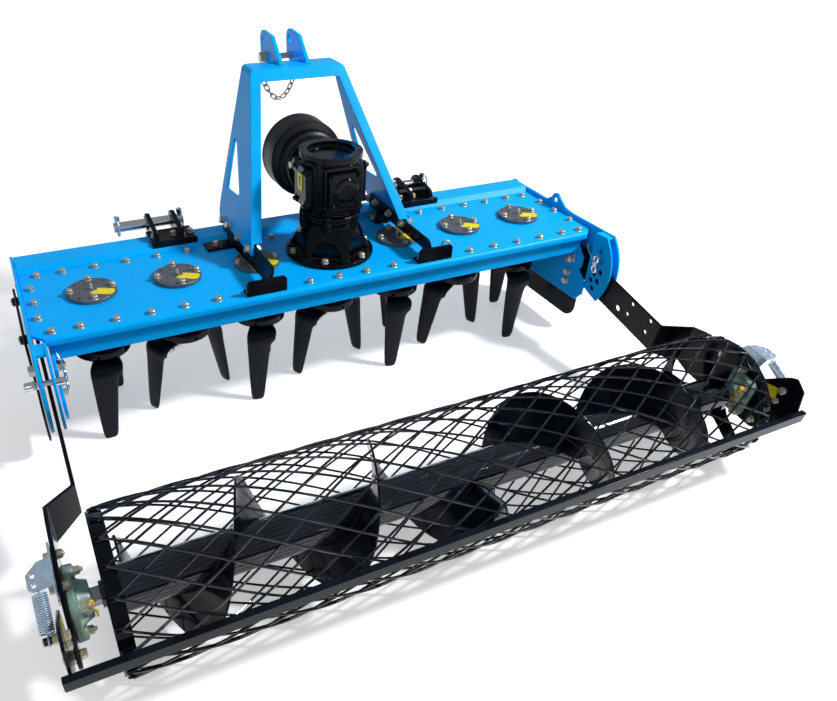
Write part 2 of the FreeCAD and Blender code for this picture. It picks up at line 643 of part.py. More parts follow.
def pto_guard():
    """Stepped plastic cup round the input shaft, open to the front."""
    seat_r = NECK_COLLAR_R + GUARD_CLEAR
    step_y = NECK_FRONT + 6.0
    cup_y = NECK_FRONT + 34.0
    steps = ((seat_r, 76.0, NECK_FRONT - 14.0, NECK_FRONT + 10.0), (80.0, 87.0, step_y, cup_y + 4.0),
             (GUARD_R - 6, GUARD_R, cup_y, GUARD_FRONT))
    rings = []
    for inner, outer, y0, y1 in steps:
        ring = cyl(outer, (0, y0, up(PTO_HEIGHT)), (0, y1, up(PTO_HEIGHT)))
        rings.append(ring.cut(cyl(inner, (0, y0 - 1, up(PTO_HEIGHT)), (0, y1 + 1, up(PTO_HEIGHT)))))
    for r0, r1, y in ((seat_r, 87.0, step_y), (80.0, GUARD_R, cup_y)):
        disc = cyl(r1, (0, y, up(PTO_HEIGHT)), (0, y + 7.0, up(PTO_HEIGHT)))
        rings.append(disc.cut(cyl(r0, (0, y - 1, up(PTO_HEIGHT)), (0, y + 8, up(PTO_HEIGHT)))))
    return join(rings)


def pto_shaft():
    """Splined input shaft, 1 3/8 inch."""
    shaft = cyl(PTO_R, (0, 98.0, up(PTO_HEIGHT)), (0, SHAFT_END, up(PTO_HEIGHT)))
    key = box(-3.6, 3.6, 128.0, SHAFT_END + 1, up(PTO_HEIGHT) + 15.0, up(PTO_HEIGHT) + 20.0)
    slots = [turned(key, (0, 0, up(PTO_HEIGHT)), (0, 1, 0), 60.0 * k) for k in range(6)]
    return cut(shaft, slots)


def bearing_covers():
    """Round covers over the rotors that the gearbox doesn't stand on."""
    discs = []
    for number in range(1, ROTOR_COUNT + 1):
        x = rotor_x(number)
        if abs(x) < 1.0:
            continue
        disc = cyl(COVER_R, (x, 0, up(GAP)), (x, 0, up(COVER_RISE - 3.0)))
        boss = cyl(COVER_R - 14.0, (x, 0, up(COVER_RISE - 4.0)), (x, 0, up(COVER_RISE)))
        discs.append(disc.fuse(boss).removeSplitter())
    return Part.makeCompound(discs)


# ---------------------------------------------------------------- rotors

def rotor_bearings():
    """Bearing housings under the trough, one to a rotor."""
    housings = []
    for number in range(1, ROTOR_COUNT + 1):
        x = rotor_x(number)
        top = -TROUGH_DEPTH - GAP
        body = cyl(HOUSING_R, (x, 0, up(top)), (x, 0, up(HOUSING_Z)))
        bore = cyl(ROTOR_BORE_R, (x, 0, up(top + 1)), (x, 0, up(HOUSING_Z - 1)))
        housings.append(body.cut(bore))
    return Part.makeCompound(housings)


def rotor_angle(number):
    """Neighbouring rotors stand about a quarter turn apart, to the nearest gear tooth."""
    return ROTOR_REST[(number - 1) % len(ROTOR_REST)]


def rotor(number):
    """Tine holder: flange under the housing and the shaft that carries it."""
    x = rotor_x(number)
    flange = cyl(FLANGE_R, (x, 0, up(FLANGE_LOW)), (x, 0, up(FLANGE_TOP)))
    shaft = cyl(ROTOR_BORE_R - GAP, (x, 0, up(FLANGE_TOP - 1)), (x, 0, up(-TROUGH_DEPTH - 5.5)))
    return join([flange, shaft])


def tine():
    """L-shaped blade under the flange, pointing along +X, its tip trailing towards -Y."""
    foot_low = FLANGE_LOW - GAP - TINE_THICK
    foot = plate_z([(14.0, 26.0), (84.0, 33.0), (84.0, -46.0), (14.0, -26.0)],
                   foot_low, FLANGE_LOW - GAP)
    top_r = 84.0
    inner = top_r - TINE_THICK / 2
    tip_in = TINE_TIP_R - 5.0
    tip_low = -DECK_TOP
    side = face([(inner - 2, 0, up(FLANGE_LOW - GAP)), (inner + TINE_THICK, 0, up(FLANGE_LOW - GAP - 4.0)),
                 (inner + TINE_THICK + 8, 0, up(FLANGE_LOW - 46.0)), (tip_in + 8.0, 0, up(tip_low)),
                 (tip_in, 0, up(tip_low)), (inner + 5, 0, up(FLANGE_LOW - 48.0)),
                 (inner - 2, 0, up(foot_low - 6.0))])
    slab = side.extrude(Vector(0, 160.0, 0))
    slab.translate(Vector(0, -80.0, 0))
    front = face([(0, 33.0, up(FLANGE_LOW)), (0, 29.0, up(-188.0)), (0, 15.0, up(-200.0)),
                  (0, -12.0, up(tip_low)), (0, -48.0, up(tip_low)), (0, -48.0, up(-176.0)),
                  (0, -46.0, up(FLANGE_LOW))])
    return foot.fuse(slab.common(front.extrude(Vector(200.0, 0, 0)))).removeSplitter()


def tines(number):
    """The two tines of a rotor."""
    x = rotor_x(number)
    blade = tine()
    blades = []
    for half_turn in (0.0, 180.0):
        one = turned(blade, (0, 0, 0), (0, 0, 1), rotor_angle(number) + half_turn)
        one.translate(Vector(x, 0, 0))
        blades.append(one)
    return Part.makeCompound(blades)


# ---------------------------------------------------------------- roller frame

def parked_point(y, z):
    """A working-position point (y, height) of the roller frame, when parked."""
    angle = math.radians(ARM_DROP)
    dy = y - PIVOT_Y
    dz = z - PIVOT_Z
    return (PIVOT_Y + dy * math.cos(angle) - dz * math.sin(angle),
            PIVOT_Z + dy * math.sin(angle) + dz * math.cos(angle))


def arm_top_edge():
    """Top edge of an arm in the working position, front to rear."""
    return [(PIVOT_Y - 15.0, PIVOT_Z + 38.0), (PIVOT_Y - 39.0, PIVOT_Z + 33.0),
            (PIVOT_Y - 136.0, PIVOT_Z + 18.0), (BEND_FRONT, WORK_ROLLER_Z + 40.0)]


def tail_top():
    """Height of an arm's tail over its pivot, so that it stops 5 mm under the deck."""
    angle = math.radians(ARM_DROP + ARM_SWING)
    stop = -PLATE - 5.0 - PIVOT_Z
    return (stop - TAIL * math.sin(angle)) / math.cos(angle)


def roller_arm():
    """Flat bar from the pivot to the bearing, bent outwards behind the guide."""
    tail = [(PIVOT_Y + TAIL, PIVOT_Z + tail_top()), (PIVOT_Y + TAIL, PIVOT_Z - 22.0)]
    bottom = at_axle([(183.0, -53.0), (238.0, -50.0)])
    bottom += [(PIVOT_Y - 129.0, PIVOT_Z - 72.0), (PIVOT_Y - 8.0, PIVOT_Z - EYE_R)]
    rear = at_axle([(183.0, 61.0), (143.0, 73.0), (-25.0, 79.0), (-41.0, 69.0)])
    rear += arc((SCRAPER_PIVOT_Y, SCRAPER_PIVOT_Z), 24.0, 155.0, 270.0, 8)
    rear += at_axle([(143.0, -64.0)])
    outline = [tail[0]] + arm_top_edge() + rear + bottom + [tail[1]]
    x0 = ARM_IN - 20.0
    x1 = ARM_REAR_IN + 20.0
    side = plate_x(outline, x0, x1)
    t = ARM_THICK
    front = PIVOT_Y + TAIL + 50.0
    back = WORK_ROLLER_Y - 150.0
    plan = [(ARM_IN, front), (ARM_IN + t, front), (ARM_IN + t, BEND_FRONT + 3.0),
            (ARM_REAR_IN + t, BEND_REAR + 3.0), (ARM_REAR_IN + t, back), (ARM_REAR_IN, back),
            (ARM_REAR_IN, BEND_REAR - 1.0), (ARM_IN, BEND_FRONT - 1.0)]
    bar = plate_z(plan, -300.0, 100.0).common(side)
    axle_z = up(WORK_ROLLER_Z)
    bolt_z = up(SCRAPER_PIVOT_Z)
    pivot = cyl(PIVOT_R + RUN_CLEAR, (x0, PIVOT_Y, PIVOT_HEIGHT), (x1, PIVOT_Y, PIVOT_HEIGHT))
    stub = cyl(STUB_R + 6.0, (x0, WORK_ROLLER_Y, axle_z), (x1, WORK_ROLLER_Y, axle_z))
    bolt = cyl(SCRAPER_BOLT_R + RUN_CLEAR, (x0, SCRAPER_PIVOT_Y, bolt_z), (x1, SCRAPER_PIVOT_Y, bolt_z))
    return cut(bar, [pivot, stub, bolt])


def roller_bearings():
    """Cast four-bolt bearing housings on the inner faces of the arms."""
    y = WORK_ROLLER_Y
    z = up(WORK_ROLLER_Z)
    outside = ARM_REAR_IN - GAP
    half = BEARING_HALF
    base = box(outside - 14.0, outside, y - half, y + half, z - half, z + half)
    base = rounded(base, 16.0, lambda e: along(e, Vector(1, 0, 0)))
    dome = cone(44.0, 34.0, (outside - 12.0, y, z), (BEARING_IN, y, z))
    bore = cyl(STUB_R + 0.05, (BEARING_IN - 5, y, z), (outside + 5, y, z))
    return both_sides(parked(join([base, dome]).cut(bore)))


def spring_brackets():
    """Zinc brackets on the arms that the scraper springs hang from."""
    x0 = ARM_REAR_IN + ARM_THICK + GAP
    t = BRACKET_THICK
    axle = WORK_ROLLER_Y
    outline = at_axle([(81.0, 49.0), (81.0, 87.0), (45.0, 93.0), (28.0, BRACKET_OVER), (-33.0, BRACKET_OVER),
                       (-27.0, 93.0), (-17.0, 49.0)])
    web = plate_x(outline, x0, x0 + t)
    plan = [(x0, axle + 27.0), (x0 + 22.0, axle + 23.0), (x0 + 42.0, axle + 2.0),
            (x0 + 41.0, axle - 27.0), (x0 + 34.0, axle - 34.0), (x0, axle - 31.0)]
    flange = plate_z(plan, BRACKET_TOP - t, BRACKET_TOP)
    holes = [cyl(4.0, (x0 + 31.0, y, up(BRACKET_TOP - 9)), (x0 + 31.0, y, up(BRACKET_TOP + 9)))
             for y in (axle - 3.0, axle - SPRING_BEHIND)]
    return both_sides(parked(cut(join([web, flange]), holes)))


# ---------------------------------------------------------------- roller

def roller_tube():
    """Central tube with end discs and the stub shafts in the bearings."""
    y = WORK_ROLLER_Y
    z = up(WORK_ROLLER_Z)
    tube = cyl(TUBE_R, (-ROLLER_HALF + 8, y, z), (ROLLER_HALF - 8, y, z))
    inner = cyl(TUBE_R - 6.0, (-ROLLER_HALF + 14, y, z), (ROLLER_HALF - 14, y, z))
    shaft_out = ARM_REAR_IN + ARM_THICK - 1.0
    stubs = [cyl(STUB_R, (s * (ROLLER_HALF - 20), y, z), (s * shaft_out, y, z)) for s in (-1, 1)]
    return parked(join([tube.cut(inner)] + stubs))


def section(x, angle, r0, r1, thickness):
    """Cross-section of a flight: a thin upright rectangle at one angle."""
    a = math.radians(angle)
    y = WORK_ROLLER_Y
    z = up(WORK_ROLLER_Z)
    half = thickness / 2
    points = []
    for dx, r in ((-half, r0), (half, r0), (half, r1), (-half, r1)):
        points.append(Vector(x + dx, y + r * math.cos(a), z + r * math.sin(a)))
    return Part.makePolygon(points + [points[0]])


def roller_flights():
    """Two screw blades on the tube, of opposite hands, from the middle to the ends."""
    length = ROLLER_HALF - RING_WIDTH - 8.0 - FLIGHT_THICK
    count = int(length / FLIGHT_PITCH * FLIGHT_STEPS)
    turn = 360.0 * length / FLIGHT_PITCH
    inner_r = (TUBE_R + GAP) / math.cos(math.radians(turn / count / 2))
    wires = []
    for i in range(count + 1):
        share = i / count
        wires.append(section(FLIGHT_THICK + share * length, FLIGHT_START + share * turn, inner_r, FLIGHT_R,
                             FLIGHT_THICK))
    return both_sides(parked(Part.makeLoft(wires, True, True)))


def roller_rings():
    """Flat end rings that the mesh is welded to, with three spokes each."""
    y = WORK_ROLLER_Y
    z = up(WORK_ROLLER_Z)
    x0 = ROLLER_HALF - RING_WIDTH
    outer = ROLLER_R - MESH_THICK - GAP
    ring = cyl(outer, (x0, y, z), (ROLLER_HALF, y, z)).cut(
        cyl(outer - RING_WALL, (x0 - 1, y, z), (ROLLER_HALF + 1, y, z)))
    spokes = []
    for k in range(3):
        spoke = box(x0, x0 + 6.0, y - 22.0, y + 22.0, z + TUBE_R + GAP, z + outer - 3.0)
        spokes.append(turned(spoke, (0, y, z), (1, 0, 0), 120.0 * k))
    return both_sides(parked(join([ring] + spokes)))


def roller_net():
    """Envelope of the rod mesh round the roller."""
    y = WORK_ROLLER_Y
    z = up(WORK_ROLLER_Z)
    tube = cyl(ROLLER_R, (-ROLLER_HALF, y, z), (ROLLER_HALF, y, z))
    inner = cyl(ROLLER_R - MESH_THICK, (-ROLLER_HALF - 1, y, z), (ROLLER_HALF + 1, y, z))
    return parked(tube.cut(inner))


# ---------------------------------------------------------------- scraper

def scraper_bar():
    """Angle bar along the back of the mesh, which keeps it clean."""
    web = box(-BAR_HALF, BAR_HALF, BAR_Y - BAR_THICK, BAR_Y, up(BAR_Z - BAR_LEG), up(BAR_Z))
    leg = box(-BAR_HALF, BAR_HALF, BAR_Y - BAR_THICK, BAR_Y + BAR_LIP, up(BAR_Z - BAR_THICK), up(BAR_Z))
    return parked(join([web, leg]))


def scraper_arms():
    """Plates that carry the bar and turn on the roller arms."""
    x0 = SCRAPER_IN
    x1 = SCRAPER_IN + SCRAPER_THICK
    face_y = BAR_Y + GAP
    under = BAR_Z - BAR_THICK - GAP
    lip_y = BAR_Y + BAR_LIP + GAP
    outline = at_axle([(-43.0, 62.0), (-102.0, 117.0), (-118.0, 124.0), (-147.0, 105.0)])
    outline += [(lip_y, BAR_Z), (lip_y, under), (face_y, under), (face_y, BAR_Z - BAR_LEG)]
    outline += at_axle([(-137.0, -5.0)])
    outline += arc((SCRAPER_PIVOT_Y, SCRAPER_PIVOT_Z), 22.0, 215.0, 350.0, 9)
    outline += at_axle([(-47.0, 13.0)])
    web = plate_x(outline, x0, x1)
    anchor = cyl(ANCHOR_R, (x0 + 1.0, ANCHOR_Y, up(ANCHOR_Z)), (x1 + 26.0, ANCHOR_Y, up(ANCHOR_Z)))
    z = up(SCRAPER_PIVOT_Z)
    pivot = cyl(SCRAPER_BOLT_R + RUN_CLEAR, (x0 - 5, SCRAPER_PIVOT_Y, z), (x1 + 5, SCRAPER_PIVOT_Y, z))
    return both_sides(parked(join([web, anchor]).cut(pivot)))


def scraper_bolts():
    """Bolts in the roller arms that the scraper turns on."""
    y = SCRAPER_PIVOT_Y
    z = up(SCRAPER_PIVOT_Z)
    inside = ARM_REAR_IN
    arm_face = ARM_REAR_IN + ARM_THICK
    outside = SCRAPER_IN + SCRAPER_THICK + GAP
    shank = cyl(SCRAPER_BOLT_R, (inside - 12.0, y, z), (outside + 8.0, y, z))
    head = cyl(NUT_R, (inside - 10.0, y, z), (inside - GAP, y, z))
    sleeve = cyl(NUT_R, (arm_face + GAP, y, z), (SCRAPER_IN - GAP, y, z))
    nut = cyl(NUT_R, (outside, y, z), (outside + 8.0, y, z))
    return both_sides(parked(join([shank, head, sleeve, nut])))


def scraper_springs():
    """Tension springs between the brackets and the scraper arms."""
    x = SCRAPER_IN + SCRAPER_THICK + 16.0
    start = Vector(x, WORK_ROLLER_Y - SPRING_BEHIND, up(BRACKET_TOP - BRACKET_THICK - GAP - SPRING_R))
    end = Vector(x, ANCHOR_Y, up(ANCHOR_Z))
    way = (end - start).normalize()
    start = start + way * 2.0
    end = end - way * (ANCHOR_R + GAP)
    return both_sides(parked(cyl(SPRING_R, tuple(start), tuple(end))))


def pieces():
    """Every named piece of the harrow."""
    made = {
        "gear_trough": gear_trough(),
        "deck_cover": deck_cover(),
        "front_beam": front_beam(),
        "side_plates": side_plates(),
        "side_boards": side_boards(),
        "end_plate_right": end_plate(),
        "arm_pivot_bolts": arm_pivot_bolts(),
        "depth_pins": depth_pins(),
        "mast_leg_right": mast_leg(),
        "mast_crossbar": mast_crossbar(),
        "top_link_plates": top_link_plates(),
        "top_link_bolt": top_link_bolt(),
        "mast_rails": mast_rails(),
        "mast_rear_feet": mast_rear_feet(),
        "hitch_bracket_right": hitch_bracket(),
        "lower_link_pins": lower_link_pins(),
        "gearbox_base": gearbox_base(),
        "gearbox_housing": gearbox_housing(),
        "gearbox_rear_cover": gearbox_rear_cover(),
        "pto_guard": pto_guard(),
        "pto_shaft": pto_shaft(),
        "bearing_covers": bearing_covers(),
        "rotor_bearings": rotor_bearings(),
        "roller_arm_right": parked(roller_arm()),
        "roller_bearings": roller_bearings(),
        "spring_brackets": spring_brackets(),
        "roller_tube": roller_tube(),
        "roller_flights": roller_flights(),
        "roller_rings": roller_rings(),
        "roller_net": roller_net(),
        "scraper_bar": scraper_bar(),
        "scraper_arms": scraper_arms(),
        "scraper_bolts": scraper_bolts(),
        "scraper_springs": scraper_springs(),
    }
    for name in ("end_plate", "mast_leg", "hitch_bracket", "roller_arm"):
        made[name + "_left"] = mirrored(made[name + "_right"])
    for number in range(1, ROTOR_COUNT + 1):
        made["rotor_%d" % number] = rotor(number)
        made["tines_%d" % number] = tines(number)
    return made


def main():
    os.makedirs("parts", exist_ok=True)
    made = pieces()
    bounds = Part.makeCompound(list(made.values())).BoundBox
    middle = -(bounds.YMin + bounds.YMax) / 2
    for name, shape in made.items():
        shape.translate(Vector(0, middle, 0))
        shape.exportStep("parts/%s.step" % name)
    print("moved forward by %.3f mm" % middle)
    size = (bounds.XLength, bounds.YLength, bounds.ZLength, bounds.ZMin)
    print("size %.1f x %.1f x %.1f mm, lowest %.3f" % size)
    print("arm drop %.4f deg, %d pieces" % (ARM_DROP, len(made)))


main()
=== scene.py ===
"""Visual model of a power harrow with a mesh roller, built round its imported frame."""
import json
import math

import bmesh
import bpy
from bpy.props import FloatProperty, FloatVectorProperty, PointerProperty
from mathutils import Matrix, Vector, noise


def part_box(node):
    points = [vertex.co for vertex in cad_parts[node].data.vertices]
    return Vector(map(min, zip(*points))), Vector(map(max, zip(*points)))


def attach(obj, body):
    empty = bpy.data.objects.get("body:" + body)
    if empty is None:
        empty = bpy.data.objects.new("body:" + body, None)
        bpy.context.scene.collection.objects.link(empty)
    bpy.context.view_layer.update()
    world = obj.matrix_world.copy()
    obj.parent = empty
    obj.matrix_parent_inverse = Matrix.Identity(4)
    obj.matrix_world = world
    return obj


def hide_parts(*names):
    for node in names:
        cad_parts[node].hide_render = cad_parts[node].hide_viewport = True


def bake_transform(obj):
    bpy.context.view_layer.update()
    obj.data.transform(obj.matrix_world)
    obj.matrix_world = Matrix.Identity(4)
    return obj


bl_info = {
    "name": "Power harrow",
    "version": (1, 0, 0),
    "blender": (4, 5, 0),
    "location": "View3D > Sidebar > Harrow",
    "description": "Builds the visible pieces of a power harrow round its packed frame",
    "category": "Object",
}

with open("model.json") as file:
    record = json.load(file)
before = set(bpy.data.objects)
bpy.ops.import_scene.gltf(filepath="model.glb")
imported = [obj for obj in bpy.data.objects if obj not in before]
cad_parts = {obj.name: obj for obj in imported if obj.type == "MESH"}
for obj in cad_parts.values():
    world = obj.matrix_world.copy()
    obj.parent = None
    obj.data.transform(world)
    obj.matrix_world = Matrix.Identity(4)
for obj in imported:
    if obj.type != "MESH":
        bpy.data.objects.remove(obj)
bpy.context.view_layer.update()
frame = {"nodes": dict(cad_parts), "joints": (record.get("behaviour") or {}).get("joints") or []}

# ---------------------------------------------------------------- where things are
# Pieces are written in millimetres: x to the machine's right, y forward from the
# line of the rotors, z over the cover plate. Pieces of the roller frame are written
# in the working position and then lowered with the arms.
JOINT_AT = {j["name"]: Vector(j["pos_m"]) for j in frame["joints"]}
RANGE = {j["name"]: j.get("range_deg") for j in frame["joints"]}
DECK_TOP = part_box("deck_cover")[1].z
STANDING = Matrix.Translation((0, JOINT_AT["rotor_4_turn"].y, DECK_TOP)) @ Matrix.Scale(0.001, 4)
PIVOT = JOINT_AT["roller_height"]
ARM_DROP = -math.radians(RANGE["roller_height"][0])
LOWERED = Matrix.Translation(PIVOT) @ Matrix.Rotation(ARM_DROP, 4, "X") @ Matrix.Translation(-PIVOT)
PARKED = LOWERED @ STANDING
AXLE = PARKED.inverted() @ JOINT_AT["roller_turn"]          # roller axis, mm, working position
SCRAPER_PIN = PARKED.inverted() @ JOINT_AT["scraper_swing"]
DECK_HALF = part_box("deck_cover")[1].x * 1000
DECK_REAR = (STANDING.inverted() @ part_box("deck_cover")[0]).y
ARM_REAR_IN = 828.0       # inner faces of the roller arms at the roller
ARM_FACE = ARM_REAR_IN + 8.0
ROTOR_PITCH = (JOINT_AT["rotor_2_turn"].x - JOINT_AT["rotor_1_turn"].x) * 1000
PTO_HEIGHT = (STANDING.inverted() @ JOINT_AT["drive_turn"]).z
FLANGE_LOW = (STANDING.inverted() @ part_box("rotor_4")[0]).z
ROTOR_REST = (90.0, 28.0, 80.0, 28.0, 79.0, 28.0, 81.0)     # direction of each rotor's blades, degrees
MAST_TOP, MAST_FOOT = 430.0, 42.0                        # headstock's top and lower ends
MAST_HALF = 131.0                                        # half its width at the top
MAST_LEAN = 0.27191                                      # widening of each leg for a mm downwards
MAST_SHEET, MAST_LIP = 8.0, 28.0                         # its sheet and the width of its rear flange


def linear(code):
    """sRGB hex as the linear colour that Blender keeps."""
    values = [int(code[i:i + 2], 16) / 255 for i in (1, 3, 5)]
    return tuple(v / 12.92 if v <= 0.04045 else ((v + 0.055) / 1.055) ** 2.4 for v in values)


def mast_x(z):
    """Outside of a headstock leg at a height."""
    return MAST_HALF + (MAST_TOP - z) * MAST_LEAN


def mast_rear(z):
    return 216 - 256 * (MAST_TOP - z) / (MAST_TOP - MAST_FOOT)


def mast_front(z):
    return 285 - 39 * (MAST_TOP - z) / (MAST_TOP - MAST_FOOT)


# ---------------------------------------------------------------- what a user may change

def colour(name, text, code):
    return FloatVectorProperty(name=name, description=text, subtype="COLOR", size=3,
                               min=0.0, max=1.0, default=linear(code))


def length(name, text, millimetres):
    return FloatProperty(name=name, description=text, unit="LENGTH", min=0.0, default=millimetres / 1000)


class HarrowColours(bpy.types.PropertyGroup):
    """Colours of the harrow's finishes."""
    blue: colour("Blue", "Powder coat of the deck and the headstock", "#00ACFC")
    black: colour("Black", "Enamel of the arms, rails and roller", "#05080E")
    casting: colour("Casting black", "Enamel on the gearbox", "#04070D")
    guard: colour("Guard", "Moulded guard round the input shaft", "#08090B")
    gold: colour("Yellow zinc", "Passivated bolts and nuts", "#CCC1A0")
    zinc: colour("Bright zinc", "Spring brackets and springs", "#B4C8DA")
    chrome: colour("Chrome", "Linkage and depth pins", "#D5D8DC")
    steel: colour("Steel", "Turned shafts", "#9A9CA0")
    cover: colour("Bearing cover", "Phosphated covers on the deck", "#5E656E")
    green: colour("Green", "Enamel on the cast bearing housings", "#84A497")
    label: colour("Label", "Blank vinyl labels", "#EEDF16")
    tine: colour("Tine", "Forged blades", "#0C1018")


class HarrowSizes(bpy.types.PropertyGroup):
    """Sizes of the harrow's small parts."""
    rod: length("Mesh rod", "Diameter of the bars of the roller's mesh", 5.0)
    deck_bolt: length("Deck bolt", "Across the flats of the cover plate's bolts", 15.0)
    edge: length("Sheet edge", "Rounding of the edges of cut plates", 1.2)
    forged_edge: length("Forged edge", "Rounding of the edges of thick black plates", 1.6)
    spring_wire: length("Spring wire", "Diameter of the scraper springs' wire", 3.0)
    chain_wire: length("Chain wire", "Diameter of the wire of the small chain", 4.0)


def settings():
    return bpy.context.scene.harrow_colours, bpy.context.scene.harrow_sizes


# ---------------------------------------------------------------- meshes

def across(axis):
    """Two unit vectors at right angles to an axis and to each other."""
    axis = Vector(axis).normalized()
    helper = Vector((0, 0, 1)) if abs(axis.z) < 0.9 else Vector((0, 1, 0))
    u = helper.cross(axis).normalized()
    return u, axis.cross(u)


def circle(centre, axis, radius, sides, start=0.0):
    u, v = across(axis)
    turn = [start + 2 * math.pi * i / sides for i in range(sides)]
    return [Vector(centre) + (u * math.cos(a) + v * math.sin(a)) * radius for a in turn]


def loft(bm, rings, closed=False):
    """Skin over rings of points; a ring of one point is a tip, and open ends are capped."""
    rows = [[bm.verts.new(p) for p in ring] for ring in rings]
    for a, b in zip(rows, rows[1:] + rows[:1] if closed else rows[1:]):
        count = max(len(a), len(b))
        for i in range(count):
            j = (i + 1) % count
            corners = [a[i % len(a)], a[j % len(a)], b[j % len(b)], b[i % len(b)]]
            bm.faces.new(list(dict.fromkeys(corners)))
    if not closed:
        for row in (rows[0], rows[-1]):
            if len(row) > 2:
                bm.faces.new(row)


def lathe(bm, base, axis, profile, sides=48):
    """Turned shape: (radius, way along the axis) from one end to the other."""
    way = Vector(axis).normalized()
    rings = []
    for radius, along in profile:
        centre = Vector(base) + way * along
        rings.append(circle(centre, way, radius, sides) if radius > 1e-6 else [centre])
    loft(bm, rings)


def tube(bm, path, radius, sides=10, closed=False):
    """Round bar along points; radius is a number or one for each point."""
    points = [Vector(p) for p in path]
    count = len(points)
    radii = radius if isinstance(radius, (list, tuple)) else [radius] * count
    rings = []
    u = None
    for i, point in enumerate(points):
        before = points[i - 1] if i or closed else point
        after = points[(i + 1) % count] if i < count - 1 or closed else point
        way = (after - before).normalized()
        u = across(way)[0] if u is None else (u - way * u.dot(way)).normalized()
        v = way.cross(u)
        turn = [2 * math.pi * k / sides for k in range(sides)]
        rings.append([point + (u * math.cos(a) + v * math.sin(a)) * radii[i] for a in turn])
    loft(bm, rings, closed)


def slab(bm, outline, thickness, place=Matrix.Identity(4)):
    """Flat plate: outline of (x, y) in place's own plane, raised along its z."""
    loft(bm, [[place @ Vector((x, y, z)) for x, y in outline] for z in (0.0, thickness)])


def rounded_box(width, height, radius, steps=4):
    """Outline of a rectangle with round corners, about its middle."""
    outline = []
    for k, (sx, sy) in enumerate(((1, 1), (-1, 1), (-1, -1), (1, -1))):
        for i in range(steps + 1):
            a = math.pi / 2 * (k + i / steps)
            outline.append((sx * (width / 2 - radius) + radius * math.cos(a),
                            sy * (height / 2 - radius) + radius * math.sin(a)))
    return outline


def facing(seat, axis, turn=0.0):
    """Matrix whose z points along an axis from a seat."""
    u, v = across(axis)
    w = Vector(axis).normalized()
    place = Matrix((u, v, w)).transposed().to_4x4()
    return Matrix.Translation(Vector(seat)) @ place @ Matrix.Rotation(turn, 4, "Z")


def hexagon(bm, place, flats, low, high):
    """Hexagon with the turned chamfer of a bolt head on its far face."""
    half = flats / 2
    corner = half / math.cos(math.pi / 6)
    rings = [[], [], []]
    for i in range(12):
        a = math.pi / 6 * i
        pointed = i % 2 == 0
        r = corner if pointed else half
        for ring, radius, z in ((0, r, low), (1, r, high - (0.11 if pointed else 0.04) * flats),
                                (2, half * 0.94, high)):
            rings[ring].append(place @ Vector((radius * math.cos(a), radius * math.sin(a), z)))
    loft(bm, rings)


def bolt(bm, seat, axis, flats, washer=True, stud=0.0, turn=0.4):
    """Hex head on a washer; with a stud it is a nut with its thread standing out."""
    place = facing(seat, axis, turn)
    low = 0.0
    if washer:
        low = flats * 0.13
        r = flats * 0.62
        lathe(bm, seat, axis, [(0, 0), (r, 0), (r, low * 0.7), (r - low * 0.3, low), (0, low)], 28)
    high = low + flats * 0.56
    hexagon(bm, place, flats, low, high)
    if stud:
        thread(bm, seat, axis, flats * 0.31, high - 0.5, high + stud)


def thread(bm, seat, axis, radius, start, end, pitch=1.5):
    """Threaded end: ridges one pitch apart, and a chamfer."""
    profile = [(0, start)]
    along = start
    while along < end - 2 * pitch:
        profile += [(radius * 0.88, along), (radius, along + pitch / 2)]
        along += pitch
    profile += [(radius * 0.88, along), (radius * 0.8, end), (0, end)]
    lathe(bm, seat, axis, profile, 16)


def bead(bm, path, width, step=4.0):
    """Weld bead whose ripples lie one step apart."""
    points = []
    for a, b in zip(path, path[1:]):
        a, b = Vector(a), Vector(b)
        count = max(2, round((b - a).length / (step / 3)))
        points += [a.lerp(b, i / count) for i in range(count)]
    points.append(Vector(path[-1]))
    radii = []
    for i, point in enumerate(points):
        swell = 0.16 * math.cos(2 * math.pi * i / 3) + 0.12 * noise.noise(point * 0.09)
        end = min(i, len(points) - 1 - i)
        radii.append(width / 2 * (1 + swell) * min(1.0, 0.45 + 0.2 * end))
    tube(bm, points, radii, 7)


def chain(bm, path, wire, link=19.0, wide=12.0):
    """Welded chain whose links lie along points, each a quarter turn from the last."""
    points = [Vector(p) for p in path]
    lengths = [(b - a).length for a, b in zip(points, points[1:])]
    pitch = link - 2 * wire
    for k in range(int(sum(lengths) / pitch)):
        left = (k + 0.5) * pitch
        i = 0
        while i < len(lengths) - 1 and left > lengths[i]:
            left -= lengths[i]
            i += 1
        way = (points[i + 1] - points[i]).normalized()
        centre = points[i] + way * left
        place = facing(centre, way, math.pi / 2 * (k % 2) + 0.3)
        loop = []
        straight = (link - wide) / 2
        bend = (wide - wire) / 2
        for s in (1, -1):
            for n in range(7):
                a = math.pi / 6 * n
                loop.append(place @ Vector((s * bend * math.cos(a), 0, s * (straight + bend * math.sin(a)))))
        tube(bm, loop, wire / 2, 7, closed=True)


def cat(a, b, sag, count=16):
    """Points of a hanging line between two points."""
    a, b = Vector(a), Vector(b)
    points = []
    for i in range(count + 1):
        t = i / count
        points.append(a.lerp(b, t) - Vector((0, 0, 4 * sag * t * (1 - t))))
    return points


# ---------------------------------------------------------------- pieces

def cad_mesh(*nodes):
    """Clean copy of CAD nodes in metres, its flat faces whole again."""
    bm = bmesh.new()
    for node in nodes:
        bm.from_mesh(frame["nodes"][node].data)
    bmesh.ops.remove_doubles(bm, verts=bm.verts[:], dist=2e-5)
    bmesh.ops.dissolve_limit(bm, angle_limit=math.radians(0.7), verts=bm.verts[:], edges=bm.edges[:],
                             delimit={"NORMAL"})
    return bm


